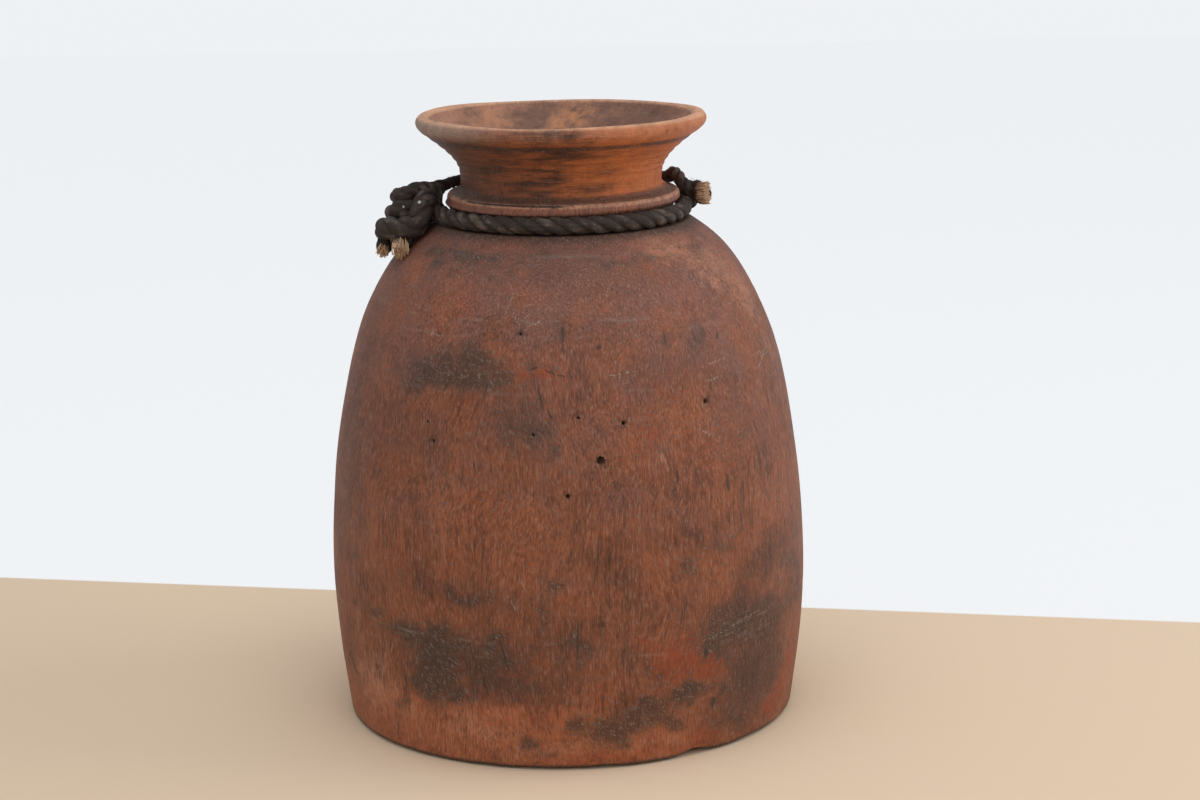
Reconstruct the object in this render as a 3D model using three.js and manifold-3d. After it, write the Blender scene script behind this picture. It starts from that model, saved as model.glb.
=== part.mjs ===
// Carved wooden milk pot with a rope and a thinner cord tied into one ring round its neck.
// Millimetres, +Z up. The origin is the middle of the flat base that the pot stands on.
import * as THREE from 'three';
import { mergeVertices } from 'three/addons/utils/BufferGeometryUtils.js';
import Module from 'manifold-3d';

const wasm = await Module();
wasm.setup();

// Body of the pot, from the base up to the seat that the rope lies on
const baseRadius = 113.2;
const baseEdge = 3;
const hipRadius = 118.1;
const hipHeight = 42;
const bellyRadius = 119.4;
const bellyHeight = 84;
const flankRadius = 113.2;
const flankHeight = 150;
const upperFlankRadius = 100.8;
const upperFlankHeight = 200;
const shoulderRadius = 80.9;
const shoulderHeight = 234.2;
const seatHeight = 248.15;
const seatBevel = 1.2;
const seatBevelDrop = 0.2;
const grooveFillet = 1.8;

// Neck and rim
const waistRadius = 49.6;
const collarReach = 8.2;
const collarUndercut = 2.7;
const collarUnderside = 8.3;
const collarSide = 3.4;
const collarEdge = 0.9;
const collarCove = 1.4;
const shelfDrop = 4.1;
const waistRise = 2;
const neckHeight = 29.05;
const rimReach = 21.3;
const lipRadius = 4.2;

// How the neck sweeps out to the rim: shares of the neck's height and of the rim's reach
const sweepStart = 0.43;
const sweepEnd = 0.6;
const sweepReach = 0.44;
const funnelDepth = 0.55;
const funnelReach = 1.5;

// Hollow
const wall = 12;
const floorThickness = 18;
const floorCorner = 24;
const neckWall = 10.6;
const throatLength = 13;
const throatFlare = 3;
const hollowTop = 234;
const hollowCrown = 6;

// Rope ring, and the slack that lets it turn
const ropeDiameter = 8.5;
const cordDiameter = 5.8;
const ringSlack = 1.05;
const seatClearance = 0.35;
const seatLip = 3.4;
const cordOut = 2.4;
const cordLift = 3.4;
const ringLift = 0.2;
const pieceGap = 0.35;

// Lengths of rope and of cord that each knot takes up
const ropeInRightKnot = 45;
const ropeInLeftKnot = 152;
const cordInRightKnot = 44;
const cordInLeftKnot = 112;

// Frayed ends
const leftRopeTuft = { length: 9, neck: 3.5, flare: 3.1, droop: [-0.2, -0.3, -0.6] };
const leftCordTuft = { length: 5, neck: 2.3, flare: 2.8, droop: [-0.3, -0.2, -0.5] };
const rightRopeTuft = { length: 5, neck: 4.2, flare: 6.2, droop: [0.1, 0, 0] };

// Fineness of the facets
const potSegments = 44;
const flankSteps = 22;
const hollowSteps = 14;
const ropeSides = 10;
const cordSides = 8;
const knotStep = 3.4;
const knotTidy = 0.1;
const stretchStep = 1.1;

const throatRadius = waistRadius - neckWall;
const collarRadius = waistRadius + collarReach;
const grooveRadius = collarRadius - collarUndercut;
const ringRadius = grooveRadius + ropeDiameter / 2 + ringSlack;
const ringHeight = seatHeight + seatClearance + ropeDiameter / 2;
const seatEdge = ringRadius + seatLip;
const collarTop = seatHeight + collarUnderside + collarSide + collarEdge;
const waistHeight = collarTop + shelfDrop + waistRise;
const lipCentre = { r: waistRadius + rimReach - lipRadius, z: waistHeight + neckHeight };

const wood = new THREE.MeshStandardMaterial({ color: 0x8a4b33, roughness: 0.62, metalness: 0 });
const blackRope = new THREE.MeshStandardMaterial({ color: 0x2b2320, roughness: 0.8, metalness: 0 });
const blackCord = new THREE.MeshStandardMaterial({ color: 0x241d1a, roughness: 0.75, metalness: 0 });
const paleFibre = new THREE.MeshStandardMaterial({ color: 0xa07850, roughness: 0.9, metalness: 0 });

// Points along a curve in the plane of radius and height, without the last one.
const along = (curve, count) => curve.getPoints(count).slice(0, -1);
const at = (radius, height) => new THREE.Vector2(radius, height);
const degrees = THREE.MathUtils.degToRad;

const arc = (radius, height, size, from, to) =>
  new THREE.EllipseCurve(radius, height, size, size, degrees(from), degrees(to), to < from);

// Smooth flank from the base's edge to the rim of the rope's seat.
class Flank extends THREE.Curve {
  constructor() {
    super();
    const stations = [
      [baseRadius, baseEdge],
      [hipRadius, hipHeight],
      [bellyRadius, bellyHeight],
      [flankRadius, flankHeight],
      [upperFlankRadius, upperFlankHeight],
      [shoulderRadius, shoulderHeight],
      [seatEdge, seatHeight - seatBevelDrop],
    ];
    const points = stations.map(([radius, height]) => new THREE.Vector3(radius, height, 0));
    this.spline = new THREE.CatmullRomCurve3(points, false, 'centripetal');
  }

  getPoint(t) {
    const point = this.spline.getPoint(t);
    return at(point.x, point.y);
  }

  // The hollow's wall: the flank moved inwards by the wall's thickness.
  inner(t) {
    const point = this.getPoint(t);
    const tangent = this.getTangent(t);
    return at(point.x - wall * tangent.y, point.y + wall * tangent.x);
  }

  // Where along the flank the hollow's wall reaches a height.
  reaches(height) {
    let low = 0;
    let high = 1;
    while (high - low > 1e-4) {
      const middle = (low + high) / 2;
      if (this.inner(middle).y < height) low = middle;
      else high = middle;
    }
    return low;
  }
}

// Flank, seat, groove and collar, from the middle of the base up to the waist.
function outerOutline(flank) {
  const groove = at(grooveRadius, seatHeight + grooveFillet);
  const collarFoot = at(collarRadius, seatHeight + collarUnderside);
  const collarRound = arc(collarRadius - collarEdge, collarTop - collarEdge, collarEdge, 0, 60);
  const cove = new THREE.QuadraticBezierCurve(
    groove, at(grooveRadius, collarFoot.y - collarCove), collarFoot);
  const shelf = new THREE.QuadraticBezierCurve(
    collarRound.getPoint(1), at(waistRadius, collarTop + shelfDrop), at(waistRadius, waistHeight));
  return [
    at(0, 0),
    ...along(arc(baseRadius - baseEdge, baseEdge, baseEdge, -90, 0), 3),
    ...along(flank, flankSteps),
    at(seatEdge, seatHeight - seatBevelDrop),
    at(seatEdge - seatBevel, seatHeight),
    ...along(arc(grooveRadius + grooveFillet, groove.y, grooveFillet, 270, 180), 3),
    ...along(cove, 3),
    ...along(collarRound, 2),
    ...along(shelf, 5),
  ];
}

// Neck and lip, from the waist over the crest of the rim.
function neckOutline() {
  const lip = arc(lipCentre.r, lipCentre.z, lipRadius, -45, 150);
  const sweep = new THREE.CubicBezierCurve(
    at(waistRadius, waistHeight), at(waistRadius, waistHeight + neckHeight * sweepStart),
    at(waistRadius + rimReach * sweepReach, waistHeight + neckHeight * sweepEnd), lip.getPoint(0));
  return [...along(sweep, 9), ...along(lip, 8)];
}

// Funnel, throat, shoulder, side and floor of the hollow, from the rim down to the axis.
function hollowOutline(flank) {
  const lip = arc(lipCentre.r, lipCentre.z, lipRadius, -45, 150);
  const funnel = new THREE.CubicBezierCurve(
    lip.getPoint(1), at(lipCentre.r - lipRadius * funnelReach, lipCentre.z - lipRadius),
    at(throatRadius, waistHeight + neckHeight * funnelDepth), at(throatRadius, waistHeight));
  const throatEnd = at(throatRadius, waistHeight - throatLength);
  const top = flank.reaches(hollowTop);
  const shoulder = flank.inner(top);
  const crown = new THREE.QuadraticBezierCurve(
    throatEnd, at(throatRadius + throatFlare, shoulder.y + hollowCrown), shoulder);
  const cornerTop = floorThickness + floorCorner;
  const bottom = flank.reaches(cornerTop);
  const side = [];
  for (let i = 0; i < hollowSteps; i += 1) {
    side.push(flank.inner(THREE.MathUtils.lerp(top, bottom, i / hollowSteps)));
  }
  const cornerRadius = flank.inner(bottom).x - floorCorner;
  return [
    ...along(funnel, 8),
    at(throatRadius, waistHeight),
    ...along(crown, 4),
    ...side,
    ...along(arc(cornerRadius, cornerTop, floorCorner, 0, -90), 5),
    at(cornerRadius, floorThickness),
    at(0, floorThickness),
  ];
}

function potGeometry() {
  const flank = new Flank();
  const outline = [...outerOutline(flank), ...neckOutline(), ...hollowOutline(flank)];
  const geometry = new THREE.LatheGeometry(outline, potSegments);
  geometry.rotateX(Math.PI / 2);
  return geometry;
}

// Place on a circle round the pot's axis, by its angle from +X.
const round = (radius, angle, height) => new THREE.Vector3(
  radius * Math.cos(degrees(angle)), radius * Math.sin(degrees(angle)), height);

// The knots' points are given from where the ring crosses the pot's side, left or right.
const fromRing = (side, points) =>
  points.map(([x, y, z]) => new THREE.Vector3(side * ringRadius + x, y, ringHeight + z));

// Route of the rope: out of its right end, round the front, and through the left knot to its left end.
function ropeRoute() {
  const rightKnot = [
    [10, 4.5, 5.5], [9, 11.5, 6], [6, 18, 6.4], [1.5, 21, 5.4], [-0.6, 17.5, 3], [0.4, 10, 0.8],
  ];
  const leftKnot = [
    [0.6, -15, 0.9], [-5, -9.3, 0.9], [-11.1, -7.8, 2], [-17.6, -8.6, 2.4], [-21.6, -3.5, -1.2],
    [-18.6, 3.8, -3.1], [-11.1, 6, -0.2], [-5.3, 0.5, 4.6], [-5.7, -9.5, 6.4], [-7.8, -17.8, 2.8],
    [-10.2, -20.5, -3.5], [-17.1, -20, -5.6], [-24.1, -15.5, -6], [-26.4, -8, -8],
    [-23, -4, -10.6], [-19.4, -9.5, -10.4], [-18.2, -16, -10.9], [-18.3, -21.6, -12.4],
  ];
  const frontAngles = [0, -10, -20, -40, -60, -80, -100, -120, -140];
  const front = frontAngles.map((angle) => round(ringRadius, angle, ringHeight));
  const lastStep = round(ringRadius, -157, ringHeight + ringLift);
  const points = [...fromRing(1, rightKnot), ...front, lastStep, ...fromRing(-1, leftKnot)];
  return new THREE.CatmullRomCurve3(points, false, 'centripetal');
}

// Route of the cord: from its left end through the knot, round the back on the collar, over the rope.
function cordRoute() {
  const leftKnot = [
    [-27.4, -12.5, -16.2], [-27.2, -6, -14.4], [-23.8, 1.5, -11.2], [-17.6, 3, -9.2],
    [-10.1, -1, -4.8], [-3.8, -4, -0.8], [-0.9, -5.5, 3.4], [-1.2, -5.6, 7.6], [-4.6, -5.6, 10.9],
    [-10, -7.4, 11.6], [-16, -9, 9.8], [-20.4, -4.5, 8.2], [-16.5, 2, 7.8], [-10, 3.4, 9],
    [-4, 4, 9.8],
  ];
  const rightKnot = [
    [-6.2, 28, 11], [-3.9, 20.5, 13.6], [-1.6, 13.6, 12.2], [1.8, 9.4, 7.2], [4.4, 12.4, 1.6],
    [3.8, 18, -1],
  ];
  const cordRadius = collarRadius + cordOut;
  const cordHeight = collarTop - collarEdge + cordLift;
  const backAngles = [172, 158, 140, 120, 100, 80, 60, 42];
  const back = backAngles.map((angle) => round(cordRadius, angle, cordHeight));
  const points = [...fromRing(-1, leftKnot), ...back, ...fromRing(1, rightKnot)];
  return new THREE.CatmullRomCurve3(points, false, 'centripetal');
}

// Part of a route, between two distances from its start.
class Stretch extends THREE.Curve {
  constructor(route, from, to) {
    super();
    this.route = route;
    this.from = from / route.getLength();
    this.to = to / route.getLength();
    this.size = to - from;
  }

  getPoint(t) {
    return this.route.getPointAt(THREE.MathUtils.lerp(this.from, this.to, t));
  }
}

function section(diameter, sides) {
  const corners = [];
  for (let i = 0; i < sides; i += 1) {
    const turn = degrees((360 * i) / sides);
    corners.push(at((Math.cos(turn) * diameter) / 2, (Math.sin(turn) * diameter) / 2));
  }
  return new THREE.Shape(corners);
}

function tube(stretch, diameter, sides, step) {
  const options = { extrudePath: stretch, steps: Math.ceil(stretch.size / step), bevelEnabled: false };
  return new THREE.ExtrudeGeometry(section(diameter, sides), options);
}

function solid(geometry) {
  const bare = geometry.clone();
  bare.deleteAttribute('normal');
  bare.deleteAttribute('uv');
  const merged = mergeVertices(bare, 1e-4);
  return new wasm.Manifold(new wasm.Mesh({
    numProp: 3,
    vertProperties: new Float32Array(merged.attributes.position.array),
    triVerts: new Uint32Array(merged.index.array),
  }));
}

function facets(manifold) {
  const mesh = manifold.getMesh();
  const geometry = new THREE.BufferGeometry();
  const corners = new Float32Array(mesh.vertProperties);
  geometry.setAttribute('position', new THREE.BufferAttribute(corners, 3));
  geometry.setIndex(new THREE.BufferAttribute(new Uint32Array(mesh.triVerts), 1));
  geometry.computeVertexNormals();
  return geometry;
}

// A knot: the turns of rope and of cord, joined where they press on each other, without slivers there.
function knotGeometry(ropeTurns, cordTurns) {
  const rope = solid(tube(ropeTurns, ropeDiameter, ropeSides, knotStep));
  const cord = solid(tube(cordTurns, cordDiameter, cordSides, knotStep));
  return facets(rope.add(cord).asOriginal().simplify(knotTidy));
}

// A frayed end: a short cone that leaves the cut face of the rope or cord and droops a little.
function tuftGeometry(route, atStart, { length, neck, flare, droop }) {
  const end = route.getPointAt(atStart ? 0 : 1);
  const out = route.getTangentAt(atStart ? 0 : 1).multiplyScalar(atStart ? -1 : 1);
  const direction = out.clone().add(new THREE.Vector3(...droop)).normalize();
  const geometry = new THREE.CylinderGeometry(flare, neck, length, ropeSides, 1);
  geometry.translate(0, length / 2, 0);
  const turn = new THREE.Quaternion().setFromUnitVectors(new THREE.Vector3(0, 1, 0), direction);
  geometry.applyQuaternion(turn);
  const tilt = neck * Math.sqrt(1 - direction.dot(out) ** 2);
  const root = end.addScaledVector(out, pieceGap + tilt);
  geometry.translate(root.x, root.y, root.z);
  return geometry;
}

function mesh(name, geometry, material) {
  const piece = new THREE.Mesh(geometry, material);
  piece.name = name;
  return piece;
}

const rope = ropeRoute();
const cord = cordRoute();
const ropeLength = rope.getLength();
const cordLength = cord.getLength();
console.log(`rope ${ropeLength.toFixed(1)} mm, cord ${cordLength.toFixed(1)} mm`);

const leftRopeStart = ropeLength - ropeInLeftKnot;
const rightCordStart = cordLength - cordInRightKnot;
const frontRope = new Stretch(rope, ropeInRightKnot + pieceGap, leftRopeStart - pieceGap);
const backCord = new Stretch(cord, cordInLeftKnot + pieceGap, rightCordStart - pieceGap);
const leftRope = new Stretch(rope, leftRopeStart, ropeLength);
const leftCord = new Stretch(cord, 0, cordInLeftKnot);
const rightRope = new Stretch(rope, 0, ropeInRightKnot);
const rightCord = new Stretch(cord, rightCordStart, cordLength);

const ring = new THREE.Group();
const ropeStep = stretchStep * ropeDiameter;
const cordStep = stretchStep * cordDiameter;
ring.add(mesh('front_rope', tube(frontRope, ropeDiameter, ropeSides, ropeStep), blackRope));
ring.add(mesh('back_cord', tube(backCord, cordDiameter, cordSides, cordStep), blackCord));
ring.add(mesh('left_knot', knotGeometry(leftRope, leftCord), blackRope));
ring.add(mesh('right_knot', knotGeometry(rightRope, rightCord), blackRope));
ring.add(mesh('left_rope_end', tuftGeometry(rope, false, leftRopeTuft), paleFibre));
ring.add(mesh('left_cord_end', tuftGeometry(cord, true, leftCordTuft), paleFibre));
ring.add(mesh('right_rope_end', tuftGeometry(rope, true, rightRopeTuft), paleFibre));

const pot = new THREE.Group();
pot.add(mesh('pot', potGeometry(), wood));
pot.add(ring);

export default pot;
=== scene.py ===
"""Looks of a carved wooden milk pot with a knotted rope round its neck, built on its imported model."""

import math

import bpy
import numpy as np
from bpy.props import FloatProperty, FloatVectorProperty, IntProperty, PointerProperty
from mathutils import Matrix, Vector, noise


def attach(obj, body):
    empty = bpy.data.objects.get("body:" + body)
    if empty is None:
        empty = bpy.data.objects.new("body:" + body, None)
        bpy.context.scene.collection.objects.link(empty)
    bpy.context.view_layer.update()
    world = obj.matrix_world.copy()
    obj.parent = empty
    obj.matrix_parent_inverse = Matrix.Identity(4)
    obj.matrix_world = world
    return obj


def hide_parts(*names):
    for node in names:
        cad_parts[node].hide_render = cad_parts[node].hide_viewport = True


bl_info = {
    "name": "Wooden milk pot",
    "version": (1, 0, 0),
    "blender": (4, 5, 0),
    "location": "View3D > Sidebar > Milk pot",
    "description": "Carves a wooden milk pot, lays its rope and cord, and lights them",
    "category": "Object",
}

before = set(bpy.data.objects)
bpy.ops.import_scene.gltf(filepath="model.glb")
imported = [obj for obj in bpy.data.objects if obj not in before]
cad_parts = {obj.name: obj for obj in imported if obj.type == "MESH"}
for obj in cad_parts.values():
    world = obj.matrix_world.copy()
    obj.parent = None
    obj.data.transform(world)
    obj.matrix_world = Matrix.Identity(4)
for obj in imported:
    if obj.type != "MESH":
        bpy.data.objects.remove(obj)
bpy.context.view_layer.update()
MM = 0.001
POT_BODY = "pot"
RING_BODY = "rope_ring"

# Camera that fits the photograph: place in metres, lens and sensor in millimetres, turns in radians
CAMERA_PLACE = (0, -1.3023, 0.44)
CAMERA_LENS = 79.43
CAMERA_SENSOR = 36
CAMERA_YAW = -0.0133
CAMERA_PITCH = 0.2155
CAMERA_ROLL = 0.0174

# Lamps: name, place, width in metres and power in watts
LAMPS = [
    ("overhead", (0.0, -0.35, 1.9), 1.5, 14),
    ("right_side", (1.6, 0.0, 0.9), 1.1, 10),
    ("front", (0.2, -2.2, 0.9), 1.1, 6),
]
LAMP_AIM = (0, 0, 0.15)

# The bench ends at a line: how far behind the middle, in millimetres, its slope, and its soft half width
BENCH_END = 171
BENCH_SLOPE = 0.205
BENCH_BLUR = 1.5

# Strands in the rope and in the cord
STRANDS = 3

# Step of the coarse lines that the turns keep off
COARSE_STEP = 0.8 * MM

# Length along its own line, in diameters, within which a turn doesn't keep off itself
OWN_REACH = 2.6

# Points that are moved at once, to save memory
POINTS_AT_A_TIME = 3000

# Seed of the first frayed end's fibres
FIRST_FRAY_SEED = 11

# Looser lengths at the knots: start and end along the line in metres, and how much thicker they are
ROPE_KNOTS = [(0.222, 0.36, 0.38)]
CORD_KNOTS = [(-0.02, 0.108, 0.38), (0.25, 0.31, 0.22)]

# White specks on the left knot: place and radius in millimetres
SPECKS = [(-69.2, -21.4, 260.0, 1.0), (-77.5, -13.1, 256.6, 0.7)]

# Heights in millimetres between which something begins, is full, begins to end, and has ended
ROPE_ZONE = (214, 226, 268, 276)
NECK_ZONE = (268, 274, 290, 295)
COLLAR_ZONE = (256.8, 258.6, 263.5, 267)
BESIDE_COLLAR = (254, 257, 267, 270)

# The collar's section: how far in from its radius, and how far above its foot or its top
COLLAR_LOW = [(0.9, -0.2), (0.1, 0.5), (0, 1.8)]
COLLAR_HIGH = [(0.2, -0.5), (0.7, 0.7), (1.6, 1.4), (2.6, 1.4)]


def size(name, description, millimetres):
    return FloatProperty(name=name, description=description, default=millimetres * MM, unit="LENGTH")


def colour(name, description, red, green, blue):
    return FloatVectorProperty(
        name=name, description=description, default=(red, green, blue), subtype="COLOR", min=0, max=1)


class PotShape(bpy.types.PropertyGroup):
    """Sizes of the carved pot."""

    base_radius: size("Base radius", "Radius where the flank leaves the base's edge", 113.2)
    base_edge: size("Base edge", "Rounding of the base's edge", 3)
    hip_radius: size("Hip radius", "Radius a little above the base", 118.1)
    hip_height: size("Hip height", "Height of the hip", 42)
    belly_radius: size("Belly radius", "Largest radius", 119.4)
    belly_height: size("Belly height", "Height of the largest radius", 84)
    flank_radius: size("Flank radius", "Radius half way up", 113.2)
    flank_height: size("Flank height", "Height of the middle of the flank", 150)
    upper_radius: size("Upper radius", "Radius below the shoulder", 100.8)
    upper_height: size("Upper height", "Height below the shoulder", 200)
    shoulder_radius: size("Shoulder radius", "Radius on the shoulder", 80.9)
    shoulder_height: size("Shoulder height", "Height of the shoulder", 234.2)
    seat_height: size("Seat height", "Height of the flat seat that the rope lies on", 248.15)
    seat_edge: size("Seat edge", "Radius of the seat's outer edge", 63.8)
    groove_radius: size("Groove radius", "Radius of the groove behind the rope", 55.1)
    collar_radius: size("Collar radius", "Radius of the collar above the rope", 57.8)
    collar_foot: size("Collar foot", "Height of the collar's lower edge", 256.45)
    collar_top: size("Collar top", "Height of the collar's upper edge", 260.75)
    waist_radius: size("Waist radius", "Radius of the neck's waist", 49.6)
    waist_height: size("Waist height", "Height of the neck's waist", 266.85)
    lip_middle: size("Lip middle", "Radius of the middle of the lip", 66.7)
    lip_height: size("Lip height", "Height of the middle of the lip", 295.9)
    lip_radius: size("Lip radius", "Roundness of the lip", 4.2)
    wall: size("Wall", "Thickness of the flank", 12)
    floor: size("Floor", "Thickness of the floor", 18)
    throat_radius: size("Throat radius", "Radius of the hollow inside the neck", 39)
    collar_shift: size("Collar shift", "How far the collar lies to the right of the middle", 1)
    wobble: size("Wobble", "Unevenness of the hand-cut surface", 0.55)
    segments: IntProperty(name="Segments", description="Flats round the pot before smoothing", default=72)


class CordShape(bpy.types.PropertyGroup):
    """Sizes of the rope and the cord."""

    rope_diameter: size("Rope diameter", "Thickness of the rope", 8.5)
    rope_lay: size("Rope lay", "Length in which a strand of the rope goes once round", 27)
    cord_diameter: size("Cord diameter", "Thickness of the cord", 5.8)
    cord_lay: size("Cord lay", "Length in which a strand of the cord goes once round", 16)
    ring_radius: size("Ring radius", "Radius of the rope's ring", 60.4)
    ring_height: size("Ring height", "Height of the rope's middle", 252.75)
    cord_radius: size("Cord ring radius", "Radius of the cord's way round the back", 60.2)
    cord_height: size("Cord ring height", "Height of the cord's way round the back", 263.25)
    press: size("Press", "How deep turns may press into each other", 0.5)


class PotColours(bpy.types.PropertyGroup):
    """Colours of the wood, the rope and the stage."""

    heartwood: colour("Heartwood", "Reddish brown of the belly", 0.235, 0.070, 0.027)
    dark_wood: colour("Dark wood", "Darker bands in the grain", 0.125, 0.042, 0.021)
    light_wood: colour("Light wood", "Lighter bands in the grain", 0.34, 0.118, 0.05)
    violet_wood: colour("Violet wood", "Cooler brown of the shoulder", 0.175, 0.066, 0.046)
    ember_wood: colour("Ember wood", "Bare orange red wood", 0.25, 0.048, 0.012)
    # Rubbed wood, and painted sheen on the right shoulder, down the right side and on the lip's right
    worn_and_sheen_wood: colour("Worn wood", "Tan of rubbed edges", 0.45, 0.20, 0.115)
    # Darker tones, among them painted shade under the rope and down the left side
    dusk_wood: colour("Dusk wood", "Soft dark shades on the belly", 0.085, 0.035, 0.022)
    bare_wood: colour("Bare wood", "Bare red wood low on the foot", 0.38, 0.115, 0.045)
    # Partly weathered pale fibres, partly painted glints where raised grain catches the light
    pale_lint_and_glints: colour("Pale lint", "Pale fibres of the weathered grain", 0.34, 0.25, 0.21)
    dark_lint: colour("Dark lint", "Dark fibres of the weathered grain", 0.045, 0.032, 0.026)
    neck_dark: colour("Dark neck", "Darkest streaks of the neck", 0.075, 0.03, 0.017)
    neck_orange: colour("Orange neck", "Orange wood on the neck's right", 0.52, 0.145, 0.036)
    neck_brown: colour("Brown neck", "Dull brown wood on the neck's left", 0.13, 0.06, 0.038)
    collar_side: colour("Collar side", "Worn side of the collar", 0.36, 0.14, 0.085)
    lip_grey: colour("Grey lip", "Greyed wood on the lip's left", 0.42, 0.31, 0.25)
    # Rubbed, and painted highlight along the lip's crest and the collar's upper edge
    crest: colour("Crest", "Rubbed crest of the lip and edge of the collar", 0.60, 0.32, 0.19)
    inner_wood: colour("Inner wood", "Tan of the mouth's inside", 0.36, 0.165, 0.098)
    mouth_dark: colour("Dark mouth", "Dark bands of the mouth's inside", 0.16, 0.075, 0.05)
    mouth_knot: colour("Mouth knot", "Pale knot at the mouth's back", 0.45, 0.19, 0.075)
    # Painted shade deep in the neck
    throat_shade: colour("Throat", "Dark depth of the neck", 0.04, 0.018, 0.01)
    # Old dirt, and painted shade under the rope and the lip, in corners, cut lines and worm holes and along
    # the foot
    grease_and_shade: colour("Grease", "Old greasy dirt", 0.042, 0.026, 0.018)
    # Pale scratches and dust, and painted glints on the grain
    dust_and_glints: colour("Dust", "Pale scratches and dust", 0.36, 0.28, 0.23)
    rope: colour("Rope", "Blackened rope", 0.034, 0.023, 0.018)
    # Rubbed, and painted highlight on the strands' crowns
    rubbed_crown_highlight: colour("Rubbed rope", "Rubbed crowns of the strands", 0.135, 0.098, 0.078)
    rope_tufts: colour("Rope tufts", "Pale tufts of lint on the rope", 0.21, 0.155, 0.125)
    # Painted shade in the grooves between the strands
    rope_groove_shade: colour("Rope gaps", "Grooves between the strands", 0.010, 0.007, 0.006)
    specks: colour("Specks", "White specks on the left knot", 0.6, 0.6, 0.58)
    fibre: colour("Fibre", "Pale frayed fibre", 0.56, 0.37, 0.23)
    fibre_root: colour("Fibre root", "Dark roots of the frayed fibres", 0.06, 0.036, 0.022)
    fibre_dry: colour("Dry fibre", "Driest of the frayed fibres", 0.55, 0.40, 0.26)
    bench: colour("Floor", "Pale floor", 0.74, 0.57, 0.41)
    backdrop: colour("Backdrop", "White floor further back", 0.86, 0.88, 0.90)
    back_floor: colour("Back floor", "What light from the lamps the white floor gives back", 0.1, 0.1, 0.1)
    sky: colour("Sky", "Soft light from all round", 0.92, 0.96, 1)


class SocketMath:
    """A socket that takes part in sums: each operator adds its Math node."""

    def __init__(self, finish, socket):
        self.finish = finish
        self.socket = socket

    def _sum(self, operation, first, second):
        return self.finish.node("ShaderNodeMath", {"operation": operation}, {0: first, 1: second})

    def __add__(self, other):
        return self._sum("ADD", self, other)

    __radd__ = __add__

    def __sub__(self, other):
        return self._sum("SUBTRACT", self, other)

    def __rsub__(self, other):
        return self._sum("SUBTRACT", other, self)

    def __mul__(self, other):
        return self._sum("MULTIPLY", self, other)

    __rmul__ = __mul__

    def __truediv__(self, other):
        return self._sum("DIVIDE", self, other)

    def __pow__(self, other):
        return self._sum("POWER", self, other)

    def most(self, other):
        return self._sum("MAXIMUM", self, other)

    def least(self, other):
        return self._sum("MINIMUM", self, other)

    def between(self, low, high):
        """0 below low and 1 above high, or the other way round, with a smooth step."""
        settings = {"interpolation_type": "SMOOTHSTEP"}
        if low < high:
            return self.finish.node("ShaderNodeMapRange", settings, {0: self, 1: low, 2: high, 3: 0, 4: 1})
        return self.finish.node("ShaderNodeMapRange", settings, {0: self, 1: high, 2: low, 3: 1, 4: 0})

    def within(self, low, full, end, over):
        """1 from full to end, falling to 0 at low and at over."""
        return self.between(low, full) * self.between(over, end)


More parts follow.
